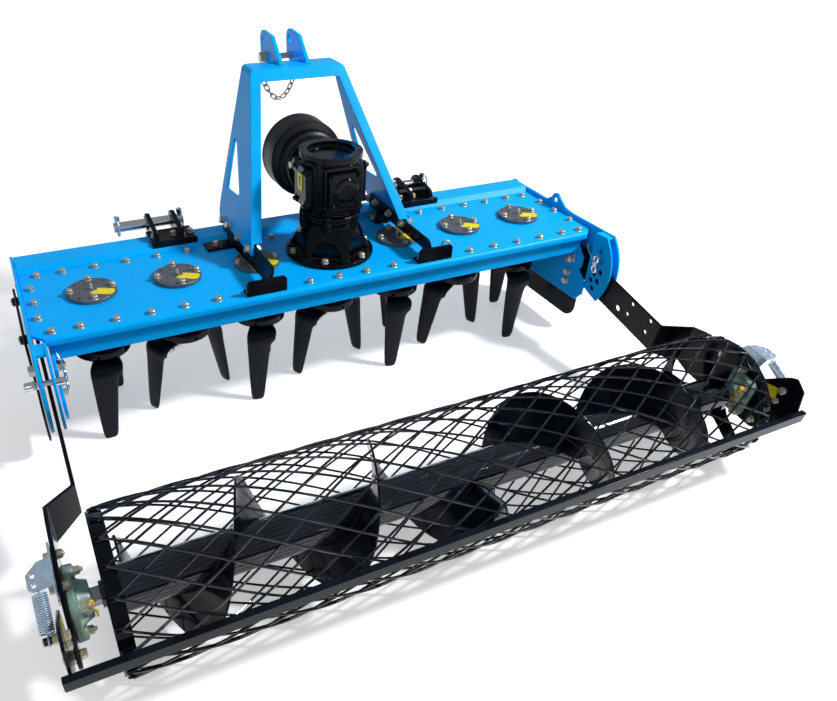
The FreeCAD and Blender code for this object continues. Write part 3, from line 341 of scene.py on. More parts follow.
def piece(name, bm, material, body, place=STANDING, nodes=(), edge=0.0, smooth=34.0, segments=2):
    """Object from a mesh, on its body; edges sharper than 34 degrees may be rounded."""
    bm.transform(place)
    bmesh.ops.recalc_face_normals(bm, faces=bm.faces[:])
    mesh = bpy.data.meshes.new(name)
    bm.to_mesh(mesh)
    bm.free()
    obj = bpy.data.objects.new(name, mesh)
    bpy.context.scene.collection.objects.link(obj)
    finish_edges(obj, edge, smooth, segments)
    mesh.materials.append(material)
    if body:
        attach(obj, body)
    if nodes:
        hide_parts(*nodes)
    return obj


def finish_edges(obj, edge, smooth, segments=2):
    """Rounds sharp edges and shades the rest smooth, with large faces kept flat."""
    mesh = obj.data
    mesh.shade_smooth()
    if edge:
        bevel = obj.modifiers.new("rounded_edges", "BEVEL")
        bevel.width = edge
        bevel.segments = segments
        bevel.limit_method = "ANGLE"
        bevel.angle_limit = math.radians(smooth)
        bevel.use_clamp_overlap = False
        bevel.miter_outer = "MITER_ARC"
        weigh = obj.modifiers.new("flat_faces", "WEIGHTED_NORMAL")
        weigh.keep_sharp = True
        weigh.weight = 60
    else:
        mesh.set_sharp_from_angle(angle=math.radians(smooth))


def settle(obj):
    """Makes an object's modifiers part of its mesh."""
    graph = bpy.context.evaluated_depsgraph_get()
    mesh = bpy.data.meshes.new_from_object(obj.evaluated_get(graph))
    obj.modifiers.clear()
    obj.data = mesh


def carved(bm, cutter, place=Matrix.Identity(4)):
    """Mesh with another taken out of it, such as holes from a plate."""
    pair = []
    for name, shape in (("body", bm), ("cutter", cutter)):
        bmesh.ops.recalc_face_normals(shape, faces=shape.faces[:])
        mesh = bpy.data.meshes.new(name)
        shape.to_mesh(mesh)
        shape.free()
        obj = bpy.data.objects.new(name, mesh)
        bpy.context.scene.collection.objects.link(obj)
        pair.append(obj)
    cut = pair[0].modifiers.new("cut", "BOOLEAN")
    cut.object = pair[1]
    cut.operation = "DIFFERENCE"
    cut.solver = "EXACT"
    bpy.context.view_layer.update()
    settle(pair[0])
    result = bmesh.new()
    result.from_mesh(pair[0].data)
    for obj in pair:
        mesh = obj.data
        bpy.data.objects.remove(obj)
        bpy.data.meshes.remove(mesh)
    return result


def casting(name, bm, material, body, slot, nodes=(), place=STANDING, grain=2.6, rounds=5):
    """Shapes grown into one casting, whose inner corners fill like those of a sand mould."""
    obj = piece(name, bm, material, body, place, nodes)
    obj.data.attributes.remove(obj.data.attributes["sharp_edge"]) if "sharp_edge" in obj.data.attributes else None
    skin = obj.modifiers.new("one_skin", "REMESH")
    skin.mode = "VOXEL"
    skin.voxel_size = grain / 1000
    skin.use_smooth_shade = True
    soft = obj.modifiers.new("soft", "SMOOTH")
    soft.factor = 0.5
    soft.iterations = rounds
    settle(obj)
    obj.data.shade_smooth()
    return obj


# ---------------------------------------------------------------- materials

def add(tree, kind, inputs=(), **values):
    """Adds a node with its settings; each input is a value or another node's output."""
    node = tree.nodes.new("ShaderNode" + kind)
    for name, value in values.items():
        setattr(node, name, value)
    for socket, value in dict(inputs).items():
        if isinstance(value, bpy.types.NodeSocket):
            tree.links.new(value, node.inputs[socket])
        else:
            node.inputs[socket].default_value = value
    return node


def per_metre(millimetres):
    """Scale of a pattern whose features are that size."""
    return 1000.0 / millimetres


def shade(rgb, factor):
    return tuple(min(1.0, c * factor) for c in rgb) + (1.0,)


def surface(name, base, dark, light, patch, rough, grain, depth, metallic=0.0, coat=0.0, edge_wear_and_sheen=None,
            stretch=(1, 1, 1), bands=None, gleam=0.5):
    """Material with drifting colour, uneven gloss and a fine relief.

    patch is the size of the colour's patches and grain that of the relief, with depth its
    height, all in mm. rough is the lowest and highest roughness. The colour given for the
    edges is painted along the sharper edges: partly wear, partly a painted highlight. stretch
    draws the relief out along an axis. bands are the size and colour of crystals or stains.
    gleam is the strength of the reflection off the front.
    """
    material = bpy.data.materials.new(name)
    material.use_nodes = True
    tree = material.node_tree
    shader = tree.nodes["Principled BSDF"]
    place = add(tree, "TexCoord").outputs["Object"]
    drift = add(tree, "TexNoise", {"Vector": place, "Scale": per_metre(patch), "Detail": 4.0, "Roughness": 0.55})
    spread = add(tree, "MapRange", {0: drift.outputs[0], 1: 0.32, 2: 0.68, 3: 0.0, 4: 1.0})
    tone = add(tree, "Mix", {0: spread.outputs[0], 6: shade(base, dark), 7: shade(base, light)}, data_type="RGBA")
    colour_out = tone.outputs[2]
    drawn = add(tree, "Mapping", {"Vector": place, "Scale": stretch})
    fine = add(tree, "TexNoise", {"Vector": drawn.outputs[0], "Scale": per_metre(grain), "Detail": 3.0})
    if bands:
        cells = add(tree, "TexVoronoi", {"Vector": place, "Scale": per_metre(bands[0])})
        facet = add(tree, "SeparateColor", {0: cells.outputs["Color"]})
        colour_out = add(tree, "Mix", {0: facet.outputs[0], 6: colour_out, 7: shade(bands[1], 1.0)},
                         data_type="RGBA").outputs[2]
    # Painted highlight and wear: the sharper edges, found by pointiness, take the edge colour in patches, lighter and
    # bluish on the black finishes.
    if edge_wear_and_sheen:
        edge = add(tree, "NewGeometry").outputs["Pointiness"]
        edge_sheen_and_wear_share = add(tree, "MapRange", {0: edge, 1: 0.53, 2: 0.62, 3: 0.0, 4: 0.55})
        patchy_edge_sheen_and_wear = add(tree, "Math", {0: edge_sheen_and_wear_share.outputs[0], 1: spread.outputs[0]}, operation="MULTIPLY")
        colour_out = add(tree, "Mix", {0: patchy_edge_sheen_and_wear.outputs[0], 6: colour_out, 7: shade(edge_wear_and_sheen, 1.0)},
                         data_type="RGBA").outputs[2]
    gloss = add(tree, "MapRange", {0: drift.outputs[0], 1: 0.3, 2: 0.7, 3: rough[0], 4: rough[1]})
    relief = add(tree, "Bump", {"Height": fine.outputs[0], "Distance": depth / 1000, "Strength": 1.0})
    tree.links.new(colour_out, shader.inputs["Base Color"])
    tree.links.new(gloss.outputs[0], shader.inputs["Roughness"])
    tree.links.new(relief.outputs[0], shader.inputs["Normal"])
    shader.inputs["Metallic"].default_value = metallic
    shader.inputs["Specular IOR Level"].default_value = gleam
    if coat:
        shader.inputs["Coat Weight"].default_value = coat
        shader.inputs["Coat Roughness"].default_value = 0.06
    return material


MATERIALS = {}


def make_materials():
    """Every finish on the harrow, kept by its slot's name."""
    c, _ = settings()
    made = {
        # Powder coat on folded steel: even and glossy, with an orange peel of 2 to 4 mm
        # that only breaks up the edges of highlights.
        "blue_paint": surface("powder_coated_steel_blue", c.blue, 0.96, 1.03, 120, (0.26, 0.36), 3.0, 0.012,
                              gleam=0.08),
        # Air-dried enamel on black steel: deep and glossy, its sharper edges painted lighter and bluer, partly as wear
        # and partly as a painted highlight.
        "black_paint": surface("enamelled_steel_black", c.black, 0.7, 1.4, 60, (0.1, 0.2), 2.5, 0.02,
                               edge_wear_and_sheen=linear("#1C2A40"), gleam=0.13),
        # The same enamel on the roller, flowed on thicker: nearly a mirror along each bar.
        "roller_enamel": surface("flow_coated_steel_black", c.black, 0.7, 1.4, 60, (0.06, 0.14), 3.5, 0.02,
                                 edge_wear_and_sheen=linear("#22304A"), gleam=0.6),
        # Enamel sprayed on a sand casting: gloss over the grain of the mould, 1.5 mm.
        "gearbox_black": surface("enamelled_sand_casting", c.casting, 0.7, 1.5, 40, (0.08, 0.17), 1.6, 0.08,
                                 edge_wear_and_sheen=linear("#203044"), gleam=0.16),
        # Yellow passivated zinc: a metal whose colour wanders from straw to pink and green.
        "yellow_zinc": surface("yellow_passivated_zinc", c.gold, 0.8, 1.12, 9, (0.26, 0.4), 0.8, 0.015,
                               metallic=0.7, bands=(7, linear("#C9BFB4"))),
        # Bright zinc with a blue passivation: cool, with the soft cells of the plating.
        "bright_zinc": surface("blue_passivated_zinc", c.zinc, 0.86, 1.08, 25, (0.2, 0.36), 1.5, 0.015,
                               metallic=0.65, bands=(30, linear("#ACC2D6"))),
        # Hard chrome on a ground pin: mirror bright with hair lines round the pin.
        "chrome": surface("chromed_ground_steel", c.chrome, 0.9, 1.04, 30, (0.07, 0.16), 0.6, 0.004,
                          metallic=1.0, stretch=(6, 1, 1)),
        # Polyethylene, injection moulded: dull black with a fine spark-eroded grain.
        "guard_plastic": surface("moulded_polyethylene_black", c.guard, 0.8, 1.4, 50, (0.36, 0.46), 1.2, 0.03,
                                 gleam=0.3),
        # Turned steel: bright, with the tool's rings drawn coarser than real to show.
        "bare_steel": surface("turned_steel", c.steel, 0.8, 1.05, 20, (0.22, 0.36), 1.2, 0.01, metallic=1.0,
                              stretch=(4, 1, 1)),
        # Phosphated and oiled steel: dark grey, half dull, stained where the oil has dried.
        "cover_grey": surface("phosphated_steel", c.cover, 0.7, 1.2, 22, (0.32, 0.48), 1.2, 0.03, metallic=0.3,
                              edge_wear_and_sheen=linear("#5C6674"), gleam=0.4),
        # Green enamel on grey iron: semi-gloss over mould grain.
        "green_cast": surface("enamelled_iron_green", c.green, 0.72, 1.12, 18, (0.28, 0.42), 1.5, 0.08,
                              edge_wear_and_sheen=linear("#A9C8B4")),
        # Heat-scaled forging, oiled: blue-black with long hammer marks of about 6 mm.
        "tine_steel": surface("forged_boron_steel", c.tine, 0.6, 1.7, 26, (0.24, 0.44), 6.0, 0.16,
                              edge_wear_and_sheen=linear("#303B48"), gleam=0.17),
        # Printed-free vinyl label: smooth and saturated, a little grubby.
        "label": surface("vinyl_label_yellow", c.label, 0.86, 1.04, 14, (0.3, 0.42), 2.0, 0.01),
        # Polyethylene caps and plugs: translucent-looking yellow plastic.
        "yellow_cap": surface("moulded_plastic_yellow", linear("#E2C012"), 0.85, 1.05, 8, (0.32, 0.44), 1.0, 0.02),
        # Painted shade for inside holes and drilled recesses, as dark, raw, oily steel.
        "recess": surface("oily_drilled_steel", linear("#101114"), 0.7, 1.4, 6, (0.4, 0.6), 1.0, 0.02, metallic=0.4),
    }
    MATERIALS.update(made)


# ---------------------------------------------------------------- operators

class Build:
    """What the building operators share."""
    bl_options = {"REGISTER", "UNDO"}

    def execute(self, context):
        self.build()
        return {"FINISHED"}


class HARROW_OT_finishes(Build, bpy.types.Operator):
    """Makes the paints, platings and plastics"""
    bl_idname = "harrow.finishes"
    bl_label = "Finishes"

    def build(self):
        make_materials()


PLATES = {
    # CAD node: (finish, body, rounding in sheet edges)
    "gear_trough": ("blue_paint", "frame", 1.5), "deck_cover": ("blue_paint", "frame", 1.2),
    "front_beam": ("blue_paint", "frame", 0.8), "side_plates": ("blue_paint", "frame", 1.0),
    "end_plate_left": ("blue_paint", "frame", 1.2), "end_plate_right": ("blue_paint", "frame", 1.2),
    "top_link_plates": ("blue_paint", "frame", 1.5),
    "side_boards": ("black_paint", "frame", 0.9), "mast_rails": ("black_paint", "frame", 1.2),
    "mast_rear_feet": ("black_paint", "frame", 1.0), "hitch_bracket_left": ("black_paint", "frame", 1.5),
    "hitch_bracket_right": ("black_paint", "frame", 1.5),
    "roller_arm_left": ("black_paint", "roller_frame", 1.2), "roller_arm_right": ("black_paint", "roller_frame", 1.2),
    "spring_brackets": ("bright_zinc", "roller_frame", 0.9),
    "scraper_bar": ("black_paint", "scraper", 1.2), "scraper_arms": ("black_paint", "scraper", 1.2),
}


class HARROW_OT_plates(Build, bpy.types.Operator):
    """Cut and folded plates: deck, headstock, arms, brackets and scraper"""
    bl_idname = "harrow.plates"
    bl_label = "Plates and folded sheet"

    def build(self):
        _, sizes = settings()
        for node, (finish, body, share) in PLATES.items():
            bm = cad_mesh(node)
            if node.startswith("roller_arm"):
                bm = carved(bm, self.arm_holes())
            width = share * (sizes.edge if finish != "black_paint" else sizes.forged_edge)
            piece(node + "_sheet", bm, MATERIALS[finish], body, Matrix.Identity(4), (node,),
                  edge=width, smooth=32.0)

    def arm_holes(self):
        """Spare holes ahead of the bend, through both roller arms."""
        drill = bmesh.new()
        for y, z, radius in ((-351, -144, 9), (-395, -99, 6), (-390, -137, 6), (-471, -104, 6), (-468, -144, 6)):
            lathe(drill, (-900, y, z), (1, 0, 0), [(0, 0), (radius, 0), (radius, 1800), (0, 1800)], 28)
        drill.transform(PARKED)
        return drill


class HARROW_OT_deck_bolts(Build, bpy.types.Operator):
    """Bolts of the cover plate, the headstock's rails and the side plates"""
    bl_idname = "harrow.deck_bolts"
    bl_label = "Bolts"

    def build(self):
        _, sizes = settings()
        flats = sizes.deck_bolt * 1000
        bm = bmesh.new()
        up = (0, 0, 1)
        for k in range(9):
            x = 40 + 80 * k
            on_foot = k in (2, 3)
            for side in (-1, 1):
                bolt(bm, (side * x, 131, 7.3 if on_foot else 0), up, flats, turn=0.3 * k)
                bolt(bm, (side * x, -151, 6.3 if on_foot else 0), up, flats, turn=0.5 * k)
        for side in (-1, 1):
            for n, (x, y) in enumerate(((742, 131), (742, -151), (763, 65), (763, -8), (763, -82))):
                bolt(bm, (side * x, y, 0), up, flats, turn=0.7 * n)
            for n, (y, z) in enumerate(((196, 46), (143, 52), (60, 52), (-16, 52))):
                x = 131 + (430 - z) * 0.27191
                way = (side * 1.0, 0, 0.272)
                bolt(bm, (side * (x + 0.3), y, z), way, 17, turn=n)
                bolt(bm, (side * (x - 16.8), y, z), (-side, 0, -0.272), 17, stud=5, turn=n)
        piece("deck_bolts", bm, MATERIALS["yellow_zinc"], "frame")
        self.side_bolts()

    def side_bolts(self):
        """Arm pivots, the bolts behind them and those of the black boards."""
        bm = bmesh.new()
        _, y, z = STANDING.inverted() @ PIVOT
        for side in (-1, 1):
            bolt(bm, (side * 793.8, y, z), (side, 0, 0), 24)
            bolt(bm, (side * 747.7, y, z), (-side, 0, 0), 24, stud=3)
            for by, bz in ((-140, -142), (-140, -172)):
                bolt(bm, (side * 747.7, by, bz), (-side, 0, 0), 17, turn=bz)
            for by, bz in ((-70, -52), (120, -52)):
                bolt(bm, (side * 804.8, by, bz), (side, 0, 0), 14, turn=by)
        piece("side_bolts", bm, MATERIALS["yellow_zinc"], "frame", nodes=("arm_pivot_bolts",))


class HARROW_OT_bearing_covers(Build, bpy.types.Operator):
    """Round covers over the rotors, with bolts, grease nipples and blank labels"""
    bl_idname = "harrow.bearing_covers"
    bl_label = "Bearing covers"

    def build(self):
        rotors = [k for k in range(-3, 4) if k]
        covers, bolts, labels = bmesh.new(), bmesh.new(), bmesh.new()
        drill = bmesh.new()
        for k in rotors:
            x = k * ROTOR_PITCH
            lathe(covers, (x, 0, 0.3), (0, 0, 1),
                  [(0, 0), (59, 0), (60, 1), (60, 8.2), (58.6, 9.5), (14, 9.5), (13, 9.9), (12, 11.7), (0, 11.7)], 72)
            for n in range(4):
                a = math.pi / 2 * n
                for reach, radius, on in ((50.0, 3.4, a + 0.8), (33.0, 2.6, a + 0.35)):
                    spot = (x + reach * math.cos(on), reach * math.sin(on), 5)
                    lathe(drill, spot, (0, 0, 1), [(0, 0), (radius, 0), (radius, 12), (0, 12)], 16)
                bolt(bolts, (x + 50.5 * math.cos(a), 50.5 * math.sin(a), 9.6), (0, 0, 1), 14, turn=0.6 * n + k)
            lathe(bolts, (x, 0, 11.9), (0, 0, 1),
                  [(0, 0), (5.2, 0), (5.2, 3.4), (3.0, 4.2), (2.1, 7), (3.2, 8.6), (3.0, 11), (1.6, 12.4), (0, 12.6)], 18)
            place = Matrix.Translation((x + 22, -19, 9.7)) @ Matrix.Rotation(-0.45 - 0.06 * (k % 3), 4, "Z")
            slab(labels, [(-25, -15), (22, -15), (29, -6), (29, 10), (22, 15), (-25, 14)], 0.35, place)
        piece("bearing_cover_discs", carved(covers, drill), MATERIALS["cover_grey"], "frame",
              nodes=("bearing_covers",), edge=0.0005, smooth=40)
        piece("bearing_cover_bolts", bolts, MATERIALS["yellow_zinc"], "frame")
        piece("bearing_cover_labels", labels, MATERIALS["label"], "frame")


class HARROW_OT_headstock(Build, bpy.types.Operator):
    """Welds, tie bolt, chain and eyes of the headstock"""
    bl_idname = "harrow.headstock"
    bl_label = "Headstock fittings"

    def build(self):
        _, sizes = settings()
        gold = MATERIALS["yellow_zinc"]
        bm = bmesh.new()
        bolt(bm, (44.3, 348, 428), (1, 0, 0), 24, stud=4)
        bolt(bm, (-44.3, 348, 428), (-1, 0, 0), 24)
        lathe(bm, (-44, 348, 428), (1, 0, 0), [(0, 0), (8, 0), (8, 88), (0, 88)], 24)
        piece("top_link_tie", bm, gold, "frame", nodes=("top_link_bolt",))
        self.folded_frame()
        bm = bmesh.new()
        for side in (-1, 1):
            for edge in (31.5, 44.6):
                bead(bm, [(side * edge, 238, 431.5), (side * edge, 284, 431.5)], 5)
        piece("headstock_welds", bm, MATERIALS["blue_paint"], "frame")
        bm = bmesh.new()
        wire = sizes.chain_wire * 1000
        chain(bm, cat((-92, 233, 398), (-6, 233, 400), 50, 24), wire, 23, 15)
        for x in (-94, -4):
            tube(bm, circle((x, 233, 404), (0, 1, 0), 8, 18), 2.0, 8, closed=True)
        piece("headstock_chain", bm, gold, "frame")
        bm = bmesh.new()
        tube(bm, circle((302, -116, 16), (0.4, 1, 0), 11.5, 28), 2.8, 10, closed=True)
        lathe(bm, (302, -116, 0), (0, 0, 1), [(0, 0), (9, 0), (9, 3), (5, 5), (4.5, 7), (0, 7)], 20)
        piece("lifting_eye", bm, gold, "frame")

    def folded_frame(self):
        """One sheet folded over the top into two legs, with a flange all along its rear edge."""
        outer = self.fold(0.0, 15.0)
        inner = self.fold(MAST_SHEET, 7.0)
        lip = self.fold(MAST_LIP, 3.0)
        rings = []
        for (ox, oz), (ix, iz), (lx, lz) in zip(outer, inner, lip):
            rings.append([Vector((ox, mast_rear(oz), oz)), Vector((ox, mast_front(oz), oz)),
                          Vector((ix, mast_front(iz), iz)), Vector((ix, mast_rear(iz) + MAST_SHEET, iz)),
                          Vector((lx, mast_rear(lz) + MAST_SHEET, lz)), Vector((lx, mast_rear(lz), lz))])
        bm, cuts = bmesh.new(), bmesh.new()
        loft(bm, rings)
        window = [(219, 127), (236, 244), (230, 256), (218, 254), (206, 242), (126, 146), (130, 134)]
        foot = [(mast_front(84) + 0.5, 84), (mast_front(60) - 4, 60), (mast_front(42) - 16, 41), (300, 30), (300, 84)]
        for outline in (window, foot):
            loft(cuts, [[Vector((x, y, z)) for y, z in outline] for x in (-300, 300)])
        for side in (-1, 1):
            low, high = mast_x(30) - MAST_SHEET, mast_x(66) - MAST_SHEET
            ring = ((high, 66), (high - 40, 66), (low - 40, 30), (low, 30))
            loft(cuts, [[Vector((side * x, y, z)) for x, z in ring] for y in (-120, 60)])
        piece("headstock_frame_sheet", carved(bm, cuts), MATERIALS["blue_paint"], "frame",
              nodes=("mast_leg_left", "mast_leg_right", "mast_crossbar"), edge=0.0018, smooth=32)

    def fold(self, inset, radius):
        """(x, z) from the left foot over the top to the right foot, a way inside the sheet's outer face."""
        slope = math.hypot(1.0, MAST_LEAN)
        top = MAST_TOP - inset
        side = Vector((1.0, MAST_LEAN)) / slope
        corner = Vector((mast_x(top) - inset * slope, top))
        # the corner's round centre is one radius inside both faces
        centre = Vector((mast_x(top - radius) - (inset + radius) * slope, top - radius))
        arc = []
        for n in range(9):
            a = math.atan2(side.y, side.x) + (math.pi / 2 - math.atan2(side.y, side.x)) * n / 8
            arc.append(centre + Vector((math.cos(a), math.sin(a))) * radius)
        feet = [Vector((mast_x(z) - inset * slope, z)) for z in (MAST_FOOT, 150.0, 300.0)]
        half = feet + arc + [Vector((40.0, top))]
        return [(-p.x, p.y) for p in half] + [(p.x, p.y) for p in reversed(half)]


class HARROW_OT_hitch_pins(Build, bpy.types.Operator):
    """Lower link pins with their linch pins and the bolts of the brackets"""
    bl_idname = "harrow.hitch_pins"
    bl_label = "Linkage pins"

    def build(self):
        pins, rings, bolts = bmesh.new(), bmesh.new(), bmesh.new()
        _, sizes = settings()
        y, z = 276.0, 34.0
        middle = 392.5                   # between the two ears of a bracket
        for side in (-1, 1):
            # both pins stand out to the left of their bracket
            def at(along):
                return side * middle - along
            lathe(pins, (at(-62.5), y, z), (-1, 0, 0),
                  [(0, 0), (12.5, 0), (14, 1.5), (14, 103.4), (20, 103.4), (20, 107.2), (14, 107.2),
                   (14, 189.5), (12, 191.5), (0, 191.5)], 48)
            for along, lean in ((-54.0, 0.2), (117.0, -0.25)):
                x = at(along)
                lathe(pins, (x, y, z - 24), (0, 0, 1), [(0, 0), (3.4, 0), (5, 2), (5, 42), (8, 43), (8, 53), (0, 53)], 20)
                loop = []
                for n in range(25):
                    a = math.radians(-60 + 300 * n / 24) + math.pi
                    loop.append((x + 5 * math.sin(lean), y - 5 + 27 * math.cos(a), z + 5 + 27 * math.sin(a)))
                tube(rings, loop, 2.3, 8)
            for n, x in enumerate((429, 376, 330)):
                bolt(bolts, (side * x, 205, 22.4), (0, 0, 1), 15, turn=n)
                bolt(bolts, (side * x, 251.4, -22), (0, 1, 0), 15, turn=n + 1)
        piece("lower_link_pin_bars", pins, MATERIALS["chrome"], "frame", nodes=("lower_link_pins",))
        piece("linch_pin_rings", rings, MATERIALS["bright_zinc"], "frame")
        piece("hitch_bolts", bolts, MATERIALS["yellow_zinc"], "frame")


class HARROW_OT_gearbox(Build, bpy.types.Operator):
    """Cast gearbox with its bolts, top ring and rear cover"""
    bl_idname = "harrow.gearbox"
    bl_label = "Gearbox"

    def build(self):
        black = MATERIALS["gearbox_black"]
        metres = STANDING
        bm = self.foot()
        for n in range(6):
            a = math.radians(60 * n)
            lathe(bm, (77 * math.cos(a), 77 * math.sin(a), 84), (0, 0, 1), [(0, 0), (9, 0), (11, 28), (0, 28)], 20)
        casting("gearbox_base_casting", bm, black, "frame", "gearbox_black", ("gearbox_base",), grain=2.3, rounds=3)
        bm = cad_mesh("gearbox_housing")
        bm.transform(metres.inverted())
        for n in range(6):
            a = math.radians(60 * n)
            lathe(bm, (78 * math.cos(a), 78 * math.sin(a), 112.4), (0, 0, 1), [(0, 0), (10, 0), (9, 18), (0, 18)], 20)
        lathe(bm, (-44, 50, 233), (-1, 0, 0), [(0, 0), (20, 0), (20, 34), (18, 37), (0, 37)], 40)
        for n in range(4):
            a = math.radians(45 + 90 * n)
            x, y = 76 * math.cos(a), 76 * math.sin(a)
            slab(bm, [(-5, 0), (5, 0), (5, 142), (-5, 142)], 12,
                 Matrix.Translation((x, y, 122)) @ Matrix.Rotation(a + math.pi / 2, 4, "Z")
                 @ Matrix.Rotation(math.pi / 2, 4, "X") @ Matrix.Translation((0, 0, -4)))
        for side in (-1, 1):
            for dy, dz in ((-30, 152), (30, 152), (-30, 240), (30, 240)):
                lathe(bm, (side * 76, dy, dz), (side, 0, 0), [(0, 0), (11, 0), (10, 11), (0, 11)], 18)
        casting("gearbox_housing_casting", bm, black, "frame", "gearbox_black", ("gearbox_housing",), grain=2.4)
        bm = cad_mesh("gearbox_rear_cover")
        bm.transform(metres.inverted())
        casting("gearbox_rear_cover_casting", bm, black, "frame", "gearbox_black", ("gearbox_rear_cover",), grain=1.8)
        self.top_ring()
        self.small_parts()

    def foot(self):
        """Flange and cone, with a flat-backed pocket over each foot bolt."""
        def ring(z, reach, half=0.0):
            points = []
            for k in range(240):
                a = math.radians(1.5 * k)
                off = (a + math.pi / 6) % (math.pi / 3) - math.pi / 6
                flat = 86 / math.cos(off)
                r = flat if flat < reach and abs(reach * math.sin(off)) < half else reach
                points.append(Vector((r * math.cos(a), r * math.sin(a), z)))
            return points
        bm = bmesh.new()
        rings = [ring(0.3, 118.4), ring(1, 119), ring(13, 119), ring(14, 118.2)]
        rings += [ring(14 + 4 * i, 110 - 1.85 * i, 43 - 1.1 * i) for i in range(21)]
        rings += [ring(95, 72), ring(97, 76), ring(111, 76), ring(112, 75.4)]
        loft(bm, rings)
        return bm

    def top_ring(self):
        """Machined face with six tapped holes round the dished top."""
        ring, holes, bowl = bmesh.new(), bmesh.new(), bmesh.new()
        loft(ring, [circle((0, 0, z), (0, 0, 1), r, 72, 0.03) for r, z in
                    ((60.5, 276), (81.2, 276), (81.8, 276.6), (81.8, 280.6), (81.2, 281.2), (60.5, 281.2))], closed=True)
        for n in range(6):
            a = math.radians(30 + 60 * n)
            lathe(holes, (73 * math.cos(a), 73 * math.sin(a), 276.6), (0, 0, 1), [(0, 0), (3.8, 0), (3.8, 9), (0, 9)], 16)
        piece("gearbox_top_ring", carved(ring, holes), MATERIALS["gearbox_black"], "frame",
              smooth=32)
        lathe(bowl, (0, 0, 266), (0, 0, 1), [(0, 0.8), (48, 1), (55, 2), (58.4, 5), (59.6, 10), (59.8, 13), (60, 13), (60, 0), (0, 0)], 56)
        piece("gearbox_top_cap", bowl, MATERIALS["gearbox_black"], "frame")

    def small_parts(self):
        """Bolts, breather plug, drain plug and the blank plate on the side."""
        bm, gold = bmesh.new(), bmesh.new()
        for n in range(6):
            a = math.radians(60 * n)
            bolt(gold, (106 * math.cos(a), 106 * math.sin(a), 13.9), (0, 0, 1), 15, turn=n)
            bolt(bm, (78 * math.cos(a), 78 * math.sin(a), 130.3), (0, 0, 1), 13, turn=n * 0.7)
        for dx, dz in ((-36, 163), (36, 163), (-36, 241), (36, 241)):
            bolt(bm, (dx, -96.4, dz), (0, -1, 0), 13, turn=dx)
        for side in (-1, 1):
            for dy, dz in ((-30, 152), (30, 152), (-30, 240), (30, 240)):
                bolt(bm, (side * 87, dy, dz), (side, 0, 0), 10, washer=False, turn=dy)
        piece("gearbox_bolts", bm, MATERIALS["gearbox_black"], "frame")
        bolt(gold, (-80.6, 50, 233), (-1, 0, 0), 17)
        piece("gearbox_plugs_and_foot_bolts", gold, MATERIALS["yellow_zinc"], "frame")
        bm = bmesh.new()
        slab(bm, rounded_box(30, 44, 3), 0.8, facing((-84.6, 0, 206), (-1, 0, 0), 0))
        piece("gearbox_label", bm, MATERIALS["label"], "frame")
        bm = bmesh.new()
        lathe(bm, (-85.5, 0, 216), (-1, 0, 0), [(0, 0), (5, 0), (5, 0.5), (0, 0.5)], 24)
        slab(bm, rounded_box(3, 14, 1), 0.5, facing((-85.5, 0, 203), (-1, 0, 0), 0))
        piece("gearbox_label_mark", bm, MATERIALS["guard_plastic"], "frame")
        bm = bmesh.new()
        lathe(bm, (0, -101.6, PTO_HEIGHT), (0, -1, 0), [(0, 0), (28, 0), (27, 1.5), (20, 2.2), (18, 0.8), (0, 0.8)], 40)
        piece("gearbox_rear_cap", bm, MATERIALS["gearbox_black"], "frame")


class HARROW_OT_drive_guard(Build, bpy.types.Operator):
    """Stepped plastic cup round the splined input shaft"""
    bl_idname = "harrow.drive_guard"
    bl_label = "Drive shaft guard"

    def build(self):
        bm = bmesh.new()
        wall = [(66.8, 98), (76, 98), (76.8, 99), (77.5, 116), (83, 119), (85.4, 122), (85.4, 145), (93, 148),
                (100, 151), (103.6, 156), (104.2, 162), (104.2, 205), (103.4, 206), (103.4, 207), (104.2, 208),
                (104.2, 215), (103.4, 216), (103.4, 217), (105, 218.5), (105, 225), (100.4, 225), (99.6, 223),
                (99, 158), (95, 153), (83, 150), (81, 146), (80.4, 126), (74, 122), (66.8, 119)]
        loft(bm, [circle((0, y, PTO_HEIGHT), (0, 1, 0), r, 96) for r, y in wall], closed=True)
        for n in range(72):
            a = 2 * math.pi * n / 72
            u = Vector((math.cos(a), 0, math.sin(a)))
            along = Vector((0, 1, 0))
            aside = along.cross(u)
            ring = [u * (84.6 + h) + aside * w + Vector((0, 0, PTO_HEIGHT))
                    for w, h in ((-1.4, 0), (1.4, 0), (0.8, 2.6), (-0.8, 2.6))]
            loft(bm, [[p + along * 123 for p in ring], [p + along * 144 for p in ring]])
        piece("drive_guard_cup", bm, MATERIALS["guard_plastic"], "frame", nodes=("pto_guard",), smooth=30)
        bm = bmesh.new()
        ring_a, ring_b, end_ring = [], [], []
        for n in range(72):
            a = 2 * math.pi * n / 72
            phase = (n % 12) / 12
            r = 17.4 if 0.18 < phase < 0.82 else 14.9
            ring_a.append((r * math.cos(a), 128, PTO_HEIGHT + r * math.sin(a)))
            ring_b.append((r * math.cos(a), 203.5, PTO_HEIGHT + r * math.sin(a)))
            end_ring.append((min(r, 15.9) * math.cos(a), 205, PTO_HEIGHT + min(r, 15.9) * math.sin(a)))
        loft(bm, [ring_a, ring_b, end_ring])
        lathe(bm, (0, 98, PTO_HEIGHT), (0, 1, 0), [(0, 0), (17.4, 0), (17.4, 30), (0, 30)], 48)
        lathe(bm, (0, 184, PTO_HEIGHT), (0, 1, 0), [(0, 0), (15.4, 0), (15.0, 2), (15.0, 7), (15.4, 9), (0, 9)], 36)
        piece("drive_shaft_splines", bm, MATERIALS["bare_steel"], "drive_shaft", nodes=("pto_shaft",), smooth=30)


